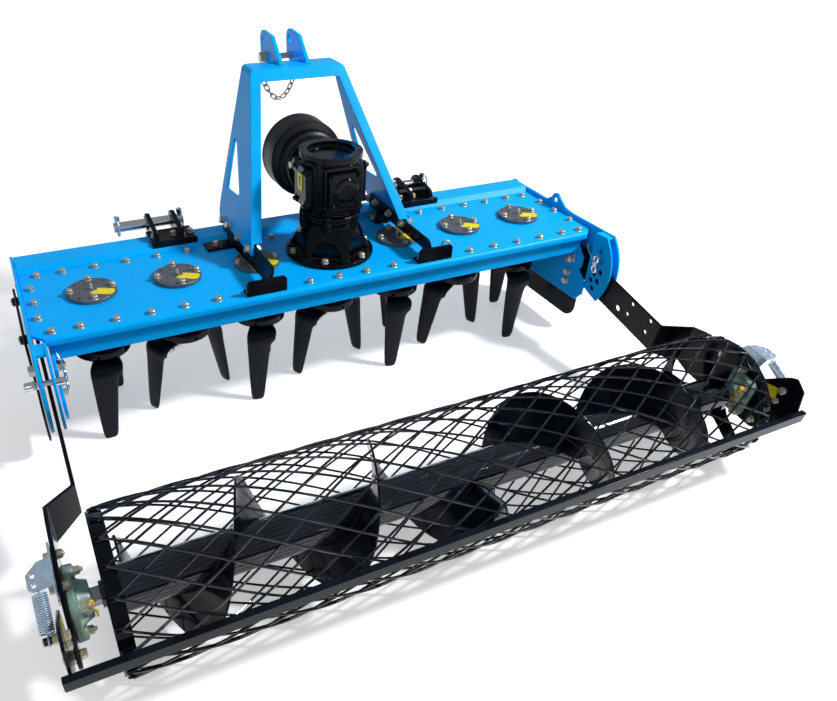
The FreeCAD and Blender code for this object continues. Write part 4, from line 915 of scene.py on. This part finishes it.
class HARROW_OT_rotors(Build, bpy.types.Operator):
    """Bearing housings, tine holders and forged blades"""
    bl_idname = "harrow.rotors"
    bl_label = "Rotors"

    def build(self):
        housings, bolts = bmesh.new(), bmesh.new()
        for k in range(1, 8):
            x = JOINT_AT["rotor_%d_turn" % k].x * 1000
            lathe(housings, (x, 0, -128), (0, 0, 1),
                  [(32, 0), (50, 0), (54, 3), (55, 12), (50, 20), (50, 44), (54, 49), (60, 50.5), (62, 52.5),
                   (62, 60.7), (32, 60.7)], 56)
            for n in range(6):
                a = math.pi / 3 * n + 0.3
                slab(housings, [(0, 0), (13, 44), (0, 44)], 6,
                     Matrix.Translation((x, 0, -124)) @ Matrix.Rotation(a, 4, "Z") @ Matrix.Translation((47, 3, 0))
                     @ Matrix.Rotation(math.pi / 2, 4, "X"))
                b = a + math.pi / 6
                bolt(bolts, (x + 57 * math.cos(b), 57 * math.sin(b), -78), (0, 0, -1), 10, washer=False, turn=n)
            self.rotor(k, x)
        piece("rotor_bearing_housings", housings, MATERIALS["gearbox_black"], "frame",
              nodes=("rotor_bearings",))
        piece("rotor_bearing_bolts", bolts, MATERIALS["yellow_zinc"], "frame")

    def rotor(self, number, x):
        body = "rotor_%d" % number
        flange, drill = bmesh.new(), bmesh.new()
        low = FLANGE_LOW
        lathe(flange, (x, 0, low), (0, 0, 1),
              [(0, 3), (17, 3), (19, 0), (67, 0), (70, 2.4), (71, 5), (71, 21), (69.6, 24), (66.5, 26), (58, 26),
               (56, 24.5), (31.7, 24.5), (31.7, 80), (0, 80)], 72)
        start = math.radians(ROTOR_REST[number - 1])
        for n in range(4):
            a = start + math.pi / 4 + math.pi / 2 * n
            lathe(drill, (x + 61 * math.cos(a), 61 * math.sin(a), low - 5), (0, 0, 1), [(0, 0), (5.5, 0), (5.5, 40), (0, 40)], 20)
            a += 0.5
            lathe(drill, (x + 75 * math.cos(a), 75 * math.sin(a), low + 13), (-math.cos(a), -math.sin(a), 0),
                  [(0, 0), (3.6, 0), (3.6, 14), (0, 14)], 16)
        piece(body + "_holder", carved(flange, drill), MATERIALS["gearbox_black"], body, nodes=(body,),
              edge=0.0006, smooth=40)
        blades, nuts = bmesh.new(), bmesh.new()
        for half_turn in (0, 1):
            a = start + math.pi * half_turn
            place = Matrix.Translation((x, 0, 0)) @ Matrix.Rotation(a, 4, "Z")
            blade(blades, place)
            for r, s in ((33, 9), (62, -9), (62, 14)):
                spot = place @ Vector((r, s, low - 12.5))
                bolt(nuts, spot, (0, 0, -1), 19, stud=5, turn=r + number)
        piece(body + "_blades", blades, MATERIALS["tine_steel"], body, nodes=("tines_%d" % number,), smooth=50)
        piece(body + "_nuts", nuts, MATERIALS["yellow_zinc"], body)


def blade(bm, place):
    """Forged L-shaped blade: foot under the holder, bend, and a tip that trails to one side."""
    # (radius from the rotor's axis, height, leaning of the face, leading edge, trailing edge, thickness)
    stations = [(15.5, -164.4, 0.0, -25, 25, 9.0), (18.0, -164.4, 0.0, -27, 27, 11.6), (45.0, -164.4, 0.0, -30, 34, 11.8),
                (70.0, -164.6, 0.0, -33, 42, 12.0), (79.0, -165.6, 0.35, -33, 45, 12.6), (85.5, -169.6, 0.8, -32, 47, 13.2),
                (88.8, -176.5, 1.2, -30.5, 48, 13.8), (90.0, -187.0, 1.46, -28, 48, 14.0), (90.4, -197.0, 1.46, -18, 48, 13.8),
                (90.8, -208.0, 1.46, -13.5, 48, 13.4), (94.2, -240.0, 1.46, -8.5, 48, 12.6), (98.6, -280.0, 1.46, -2.0, 48, 11.4),
                (103.0, -320.0, 1.46, 4.6, 47.6, 10.0), (106.1, -348.0, 1.46, 9.2, 46.6, 8.6), (107.3, -359.0, 1.46, 12.5, 45, 7.2),
                (107.8, -363.4, 1.46, 16.0, 42, 5.0), (108.0, -364.9, 1.46, 20.0, 38, 2.4)]
    rings = []
    for r, z, lean, s0, s1, thick in stations:
        normal = Vector((math.sin(lean), 0, math.cos(lean)))
        middle = (s0 + s1) / 2
        half = (s1 - s0) / 2
        ring = []
        for n in range(20):
            a = 2 * math.pi * n / 20
            c, s = math.cos(a), math.sin(a)
            # flat faces with rolled edges; the leading edge is ground thinner
            across_blade = math.copysign(abs(c) ** 0.55, c)
            through = math.copysign(abs(s) ** 0.7, s)
            edge_thin = 1.0 - 0.35 * max(0.0, -across_blade) ** 3 * (1 if lean > 1 else 0)
            spot = Vector((r, -middle - half * across_blade, z)) + normal * through * thick / 2 * edge_thin
            ring.append(place @ spot)
        rings.append(ring)
    loft(bm, rings)


class HARROW_OT_depth_pins(Build, bpy.types.Operator):
    """Depth pins in the guides, with handles and chains"""
    bl_idname = "harrow.depth_pins"
    bl_label = "Depth pins"

    def build(self):
        _, sizes = settings()
        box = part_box("depth_pins")
        low, high = STANDING.inverted() @ box[0], STANDING.inverted() @ box[1]
        y, z = (low.y + high.y) / 2, (low.z + high.z) / 2
        inside, outside = 733.0, 823.0
        pins, rings = bmesh.new(), bmesh.new()
        for s in (-1, 1):
            lathe(pins, (s * inside, y, z), (s, 0, 0), [(0, 0), (7, 0), (8, 1), (8, 66), (12, 67.5), (12, 86), (10.5, 89.5), (0, 89.8)], 32)
            for t in (-1, 1):
                wing = []
                for n in range(25):
                    a = 2 * math.pi * n / 24
                    wing.append((s * (inside + 4), y + 7.5 * math.sin(a), z + t * (16 + 10 * math.cos(a))))
                tube(pins, wing[:-1], 2.9, 8, closed=True)
            tube(pins, [(s * (inside + 4), y, z - 7), (s * (inside + 4), y, z + 7)], 4.0, 12)
            tube(rings, [(s * (inside + 3), y + 5, z + 3), (s * (inside + 2), y + 18, z + 16), (s * (inside + 4), y + 34, z + 22),
                         (s * (inside + 8), y + 46, z + 30), (s * (inside + 11), y + 52, z + 42)], 1.2, 8)
        piece("depth_pin_bars", pins, MATERIALS["chrome"], "frame", nodes=("depth_pins",))
        piece("depth_pin_wires", rings, MATERIALS["bright_zinc"], "frame")


def around_axle(x, radius, degrees):
    """Point about the roller's axis, measured from forward upwards."""
    a = math.radians(degrees)
    return Vector((x, AXLE.y + radius * math.cos(a), AXLE.z + radius * math.sin(a)))


class HARROW_OT_roller_net(Build, bpy.types.Operator):
    """Mesh of two crossing sets of bars wound round the roller"""
    bl_idname = "harrow.roller_net"
    bl_label = "Roller mesh"

    def build(self):
        _, sizes = settings()
        rod = sizes.rod * 1000
        half = 754.0
        wind = 310.0
        for name, way, radius in (("mesh_bars_outer", 1, 158.0 - rod / 2), ("mesh_bars_inner", -1, 158.0 - rod)):
            bm = bmesh.new()
            for n in range(18):
                start = 8.4 + 20 * n
                path = [around_axle(-half + 2 * half * i / 78, radius, start + way * wind * i / 78) for i in range(79)]
                tube(bm, path, rod / 2, 8)
            piece("roller_" + name, bm, MATERIALS["roller_enamel"], "roller", PARKED, ("roller_net",))


class HARROW_OT_roller_core(Build, bpy.types.Operator):
    """Tube, screw blades and end rings of the roller"""
    bl_idname = "harrow.roller_core"
    bl_label = "Roller core"

    def build(self):
        black = MATERIALS["roller_enamel"]
        bm = bmesh.new()
        left = Vector((-759, AXLE.y, AXLE.z))
        lathe(bm, left, (1, 0, 0), [(0, 3), (40, 3), (41, 0), (44, 0), (45, 1), (45, 1517), (44, 1518), (41, 1518), (40, 1515), (0, 1515)], 64)
        for s in (-1, 1):
            lathe(bm, (s * 759.2, AXLE.y, AXLE.z), (s, 0, 0),
                  [(0, 0), (30, 0), (30, 7), (28.6, 8.4), (25, 8.4), (25, 13.4), (24, 14.4), (0, 14.4)], 40)
        piece("roller_tube_drum", bm, black, "roller", PARKED, ("roller_tube",))
        bm = bmesh.new()
        for s in (-1, 1):
            lathe(bm, (s * 750, AXLE.y, AXLE.z), (s, 0, 0),
                  [(0, 0), (17.5, 0), (17.5, 34), (17.5, 83), (16, 84.8), (0, 84.8)], 40)
        piece("roller_stub_shafts", bm, MATERIALS["bare_steel"], "roller", PARKED)
        self.flights(MATERIALS["black_paint"])
        self.rings(MATERIALS["black_paint"])

    def flights(self, black):
        """Two screw blades of opposite hands, welded to the tube from the middle outwards."""
        pitch, begin = 284.0, 157.0
        start, end = 5.0, 726.0
        steps = 190
        bm, welds = bmesh.new(), bmesh.new()
        for s in (1, -1):
            rings = []
            foot = []
            for i in range(steps + 1):
                x = start + (end - start) * i / steps
                angle = begin + 360 * (x - start) / pitch
                rings.append([around_axle(s * (x + dx), r, angle) for dx, r in
                              ((-2.5, 45.6), (2.5, 45.6), (2.5, 137.2), (1.7, 138), (-1.7, 138), (-2.5, 137.2))])
                foot.append((x, angle))
            loft(bm, rings)
            for side in (-1, 1):
                path = [around_axle(s * (x + side * 4.2), 46.5, angle) for x, angle in foot[::2]]
                bead(welds, path, 5.0, 6.0)
        piece("roller_screw_blades", bm, black, "roller", PARKED, ("roller_flights",), smooth=30)
        piece("roller_screw_welds", welds, black, "roller", PARKED)

    def rings(self, black):
        """Rolled end bands with a lug for each pair of bars, and three spokes."""
        bm, lugs = bmesh.new(), bmesh.new()
        for s in (-1, 1):
            inner, outer = s * 739.0, s * 767.0
            section = ((inner, 144.7), (inner, 149.7), (inner + s, 150.7), (outer - s, 150.7), (outer, 149.7), (outer, 144.7))
            rings = [[around_axle(x, r, 10 * k + 3.4) for x, r in section] for k in range(36)]
            loft(bm, rings, closed=True)
            for k in range(3):
                a = 90 + 120 * k
                place = Matrix.Translation((inner, AXLE.y, AXLE.z)) @ Matrix.Rotation(math.radians(a - 90), 4, "X")
                outline = [(-26, 44), (-20, 60), (-18, 125), (-26, 145), (26, 145), (18, 125), (20, 60), (26, 44)]
                loft(bm, [[place @ Vector((s * x, y, z)) for y, z in outline] for x in (0, 6)])
            for n in range(18):
                a = 8.4 + 20 * n
                for da in (-1.4, 1.4):
                    path = [around_axle(s * (754 + dx), 153.2, a + da) for dx in (-9, -3, 3, 9)]
                    tube(lugs, path, [1.5, 3.0, 3.0, 1.5], 7)
        piece("roller_end_bands", bm, black, "roller", PARKED, ("roller_rings",), edge=0.0012, smooth=28)
        piece("roller_end_lugs", lugs, black, "roller", PARKED)


class HARROW_OT_roller_bearings(Build, bpy.types.Operator):
    """Green cast bearing housings, their bolts and the bolts of the arms"""
    bl_idname = "harrow.roller_bearings"
    bl_label = "Roller bearings"

    def build(self):
        bm, bolts, caps = bmesh.new(), bmesh.new(), bmesh.new()
        y, z = AXLE.y, AXLE.z
        for s in (-1, 1):
            face = s * 827.7
            for dy, dz in ((-39, -39), (39, -39), (-39, 39), (39, 39)):
                lathe(bm, (face - s * 2, y + dy, z + dz), (-s, 0, 0), [(0, 0), (16, 0), (15, 18), (0, 18)], 24)
                bolt(bolts, (face - s * 20.2, y + dy, z + dz), (-s, 0, 0), 15, stud=5, turn=dy)
                if dz < 0:
                    bolt(bolts, (s * (ARM_FACE + 0.3), y + dy, z + dz), (s, 0, 0), 15, turn=dz)
            for a in (0, 90, 180, 270):
                place = Matrix.Translation((face, y, z)) @ Matrix.Rotation(math.radians(a), 4, "X")
                loft(bm, [[place @ Vector((-s * x, w, h)) for x, h in ((8, 30), (34, 30), (30, 38), (14, 51), (8, 51))]
                          for w in (-4, 4)])
            lathe(bm, (s * 800, y, z), (-s, 0, 0), [(19, 0), (36, 0), (33, 9.8), (27, 10), (19, 10)], 40)
            lathe(bolts, (s * 796, y - 30, z + 27), (-s * 0.4, -0.6, 0.7),
                  [(0, 0), (4.5, 0), (4.5, 5), (3, 6), (2.2, 10), (3.2, 12), (2.6, 15), (0, 15.6)], 14)
            lathe(caps, (s * 795, y - 31, z + 33), (-s * 0.4, -0.6, 0.7), [(0, 0), (6, 0), (6.4, 9), (5, 12), (0, 13)], 18)
            tube(caps, [(s * 793, y - 36, z + 38), (s * 789, y - 42, z + 28), (s * 786, y - 40, z + 14), (s * 786, y - 35, z + 6)],
                 1.8, 8)
            lathe(caps, (s * 788, y - 37, z + 4), (-s, 0, 0), [(0, 0), (6.5, 0), (6.5, 4), (3.5, 5), (0, 5)], 18)
        base = cad_mesh("roller_bearings")
        base.transform(PARKED.inverted())
        mesh = bpy.data.meshes.new("bearing_base")
        base.to_mesh(mesh)
        base.free()
        bm.from_mesh(mesh)
        bpy.data.meshes.remove(mesh)
        casting("roller_bearing_castings", bm, MATERIALS["green_cast"], "roller_frame", "green_cast",
                ("roller_bearings",), PARKED, grain=1.7, rounds=4)
        piece("roller_frame_bolts", bolts, MATERIALS["yellow_zinc"], "roller_frame", PARKED)
        piece("grease_caps", caps, MATERIALS["yellow_cap"], "roller_frame", PARKED)
        self.scraper_bolts()

    def scraper_bolts(self):
        """Bolts that the scraper turns on, with their sleeves."""
        bm = bmesh.new()
        y, z = SCRAPER_PIN.y, SCRAPER_PIN.z
        for s in (-1, 1):
            lathe(bm, (s * 818, y, z), (s, 0, 0), [(0, 0), (8, 0), (8, 37), (0, 37)], 28)
            lathe(bm, (s * 836.4, y, z), (s, 0, 0), [(0, 0), (13, 0), (13, 4.2), (0, 4.2)], 28)
            bolt(bm, (s * 827.7, y, z), (-s, 0, 0), 16)
            bolt(bm, (s * 847.3, y, z), (s, 0, 0), 17, washer=False, stud=1)
        piece("scraper_pivot_bolts", bm, MATERIALS["yellow_zinc"], "roller_frame", PARKED, ("scraper_bolts",))


class HARROW_OT_scraper(Build, bpy.types.Operator):
    """Springs, bolts and blank labels of the scraper"""
    bl_idname = "harrow.scraper"
    bl_label = "Scraper springs"

    def build(self):
        _, sizes = settings()
        wire = sizes.spring_wire * 1000
        hook_at = Vector((863, AXLE.y - 23, AXLE.z + 117))
        anchor = Vector((863, AXLE.y - 103, AXLE.z + 75))
        zinc = MATERIALS["bright_zinc"]
        for s, label in ((1, "right"), (-1, "left")):
            top = Vector((s * hook_at.x, hook_at.y, hook_at.z - 8))
            end = Vector((s * anchor.x, anchor.y, anchor.z))
            way = (end - top).normalized()
            u, v = across(way)
            coil_start, coil_end = top + way * 11, end - way * 12
            turns = 17
            path = [top + Vector((0, -6, 6)), top + Vector((0, 0, 8)), top + Vector((0, 5, 3)), top + way * 5, top + way * 9]
            for i in range(turns * 14 + 1):
                t = i / (turns * 14)
                a = 2 * math.pi * turns * t
                path.append(coil_start.lerp(coil_end, t) + (u * math.cos(a) + v * math.sin(a)) * (12.6 - wire / 2))
            for n in range(12):
                a = math.pi * 1.5 * n / 11
                path.append(end - way * 8.4 * math.cos(a) + v * 8.4 * math.sin(a))
            bm = bmesh.new()
            tube(bm, path, wire / 2, 8)
            spring = piece("scraper_spring_" + label, bm, zinc, None, PARKED,
                           ("scraper_springs",))
            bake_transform(spring)
        bolts, labels = bmesh.new(), bmesh.new()
        for s in (-1, 1):
            ay, az = anchor.y, anchor.z
            lathe(bolts, (s * 842, ay, az), (s, 0, 0), [(0, 0), (7, 0), (7, 30), (6, 31), (0, 31)], 24)
            bolt(bolts, (s * 840.6, ay, az), (-s, 0, 0), 15)
            bolt(bolts, (s * 847.4, ay, az), (s, 0, 0), 16)
            bolt(bolts, (s * 840.6, ay + 1, az - 34), (-s, 0, 0), 12)
            slab(labels, rounded_box(36, 32, 2), 0.4,
                 facing((s * 840.7, AXLE.y - 77, AXLE.z + 52), (-s, 0, 0), 0.3))
        piece("scraper_bolts_and_pins", bolts, MATERIALS["yellow_zinc"], "scraper", PARKED)
        piece("scraper_labels", labels, MATERIALS["label"], "scraper", PARKED)
        self.stop_rods()

    def stop_rods(self):
        """Threaded rods on the brackets that stop the scraper's swing."""
        bm = bmesh.new()
        for s in (-1, 1):
            y, z = AXLE.y + 26, AXLE.z + 72
            thread(bm, (s * 840.4, y, z), (s, 0, 0), 4.0, 0, 28)
            bolt(bm, (s * 840.4, y, z), (s, 0, 0), 13, washer=True, stud=1)
            for by, bz in ((70, 58), (0, 60)):
                bolt(bm, (s * 840.4, AXLE.y + by, AXLE.z + bz), (s, 0, 0), 15)
                bolt(bm, (s * 827.8, AXLE.y + by, AXLE.z + bz), (-s, 0, 0), 15, stud=3)
        piece("spring_bracket_bolts", bm, MATERIALS["yellow_zinc"], "roller_frame", PARKED)


# ---------------------------------------------------------------- stage

VIEWPOINT = (-0.7637, -1.4123, 1.2617)
LOOK = {"yaw": 0.4719, "pitch": -0.6202, "roll": 0.0423}


class HARROW_OT_stage(Build, bpy.types.Operator):
    """Pale floor, soft studio light and the camera"""
    bl_idname = "harrow.stage"
    bl_label = "Stage"

    def build(self):
        self.floor()
        self.light()
        self.camera()

    def floor(self):
        bm = bmesh.new()
        lathe(bm, (0, 0, -0.01), (0, 0, 1), [(0, 0), (30, 0), (30, 0.0095), (0, 0.0095)], 96)
        floor = piece("studio_floor", bm, self.floor_paint(), None, Matrix.Identity(4))

    def floor_paint(self):
        """Matt white paint, which only the camera and reflections see at full white."""
        material = bpy.data.materials.new("matt_white_floor")
        material.use_nodes = True
        tree = material.node_tree
        tree.nodes.remove(tree.nodes["Principled BSDF"])
        path = add(tree, "LightPath").outputs
        seen = add(tree, "Math", {0: path["Is Camera Ray"], 1: path["Is Glossy Ray"]}, operation="MAXIMUM")
        seen = add(tree, "Math", {0: seen.outputs[0], 1: path["Is Transmission Ray"]}, operation="MAXIMUM")
        dull = add(tree, "BsdfDiffuse", {"Color": (0.55, 0.55, 0.55, 1)})
        white = add(tree, "BsdfDiffuse", {"Color": (0.86, 0.86, 0.86, 1)})
        away = add(tree, "VectorMath", {0: add(tree, "TexCoord").outputs["Object"]}, operation="LENGTH")
        rise = add(tree, "MapRange", {0: away.outputs["Value"], 1: 2.0, 2: 4.5, 3: 0.42, 4: 1.0})
        lift = add(tree, "Emission", {"Color": (1, 1, 1, 1), "Strength": rise.outputs[0]})
        bright = add(tree, "AddShader", {0: white.outputs[0], 1: lift.outputs[0]})
        mix = add(tree, "MixShader", {0: seen.outputs[0], 1: dull.outputs[0], 2: bright.outputs[0]})
        tree.links.new(mix.outputs[0], tree.nodes["Material Output"].inputs["Surface"])
        return material

    def light(self):
        world = bpy.data.worlds.new("studio")
        world.use_nodes = True
        tree = world.node_tree
        back = tree.nodes["Background"]
        height = add(tree, "SeparateXYZ", {0: add(tree, "TexCoord").outputs["Generated"]})
        share = add(tree, "MapRange", {0: height.outputs[2], 1: 0.0, 2: 0.9, 3: 0.0, 4: 1.0})
        tint = add(tree, "Mix", {0: share.outputs[0], 6: linear("#F4F4F3") + (1,), 7: linear("#E2E9F2") + (1,)}, data_type="RGBA")
        tree.links.new(tint.outputs[2], back.inputs["Color"])
        back.inputs["Strength"].default_value = 0.4
        path = add(tree, "LightPath").outputs["Is Camera Ray"]
        white = add(tree, "Background", {"Color": (1, 1, 1, 1), "Strength": 1.0})
        mix = add(tree, "MixShader", {0: path, 1: back.outputs[0], 2: white.outputs[0]})
        tree.links.new(mix.outputs[0], tree.nodes["World Output"].inputs["Surface"])
        bpy.context.scene.world = world
        for name, place, aim, size, power in (("key", (3.1, -1.5, 3.6), (0, 0, 0.3), 0.6, 240.0),
                                              ("fill", (-2.6, -2.4, 3.4), (0, 0, 0.3), 2.4, 16.0)):
            lamp = bpy.data.lights.new(name, "AREA")
            lamp.shape = "DISK"
            lamp.size = size
            lamp.energy = power
            obj = bpy.data.objects.new(name, lamp)
            obj.location = place
            obj.rotation_mode = "QUATERNION"
            obj.rotation_quaternion = (Vector(aim) - Vector(place)).to_track_quat("-Z", "Y")
            bpy.context.scene.collection.objects.link(obj)
        bpy.context.scene.view_settings.view_transform = "Standard"

    def camera(self):
        yaw, pitch, roll = LOOK["yaw"], LOOK["pitch"], LOOK["roll"]
        ahead = Vector((math.sin(yaw) * math.cos(pitch), math.cos(yaw) * math.cos(pitch), math.sin(pitch)))
        right = Vector((math.cos(yaw), -math.sin(yaw), 0))
        above = right.cross(ahead)
        side = right * math.cos(roll) + above * math.sin(roll)
        top = above * math.cos(roll) - right * math.sin(roll)
        camera = bpy.data.cameras.new("camera")
        camera.lens = 31.65
        camera.shift_x = 0.0773
        camera.shift_y = 0.0295
        camera.clip_end = 100
        obj = bpy.data.objects.new("camera", camera)
        obj.matrix_world = Matrix.Translation(VIEWPOINT) @ Matrix((side, top, -ahead)).transposed().to_4x4()
        bpy.context.scene.collection.objects.link(obj)
        bpy.context.scene.camera = obj


# ---------------------------------------------------------------- add-on

OPERATORS = (HARROW_OT_finishes, HARROW_OT_plates, HARROW_OT_deck_bolts, HARROW_OT_bearing_covers,
             HARROW_OT_headstock, HARROW_OT_hitch_pins, HARROW_OT_gearbox, HARROW_OT_drive_guard,
             HARROW_OT_rotors, HARROW_OT_depth_pins, HARROW_OT_roller_net, HARROW_OT_roller_core,
             HARROW_OT_roller_bearings, HARROW_OT_scraper, HARROW_OT_stage)


class HARROW_PT_panel(bpy.types.Panel):
    """Lists the harrow's sizes, colours and building steps"""
    bl_idname = "HARROW_PT_panel"
    bl_label = "Power harrow"
    bl_space_type = "VIEW_3D"
    bl_region_type = "UI"
    bl_category = "Harrow"

    def draw(self, context):
        for group in (context.scene.harrow_sizes, context.scene.harrow_colours):
            for name in group.__annotations__:
                self.layout.prop(group, name)
        for operator in OPERATORS:
            self.layout.operator(operator.bl_idname)


CLASSES = (HarrowColours, HarrowSizes) + OPERATORS + (HARROW_PT_panel,)


def register():
    for cls in CLASSES:
        bpy.utils.register_class(cls)
    bpy.types.Scene.harrow_colours = PointerProperty(type=HarrowColours)
    bpy.types.Scene.harrow_sizes = PointerProperty(type=HarrowSizes)


def unregister():
    del bpy.types.Scene.harrow_sizes
    del bpy.types.Scene.harrow_colours
    for cls in reversed(CLASSES):
        bpy.utils.unregister_class(cls)


def main():
    register()
    for operator in OPERATORS:
        group, name = operator.bl_idname.split(".")
        getattr(getattr(bpy.ops, group), name)()


if __name__ == "__main__":
    main()
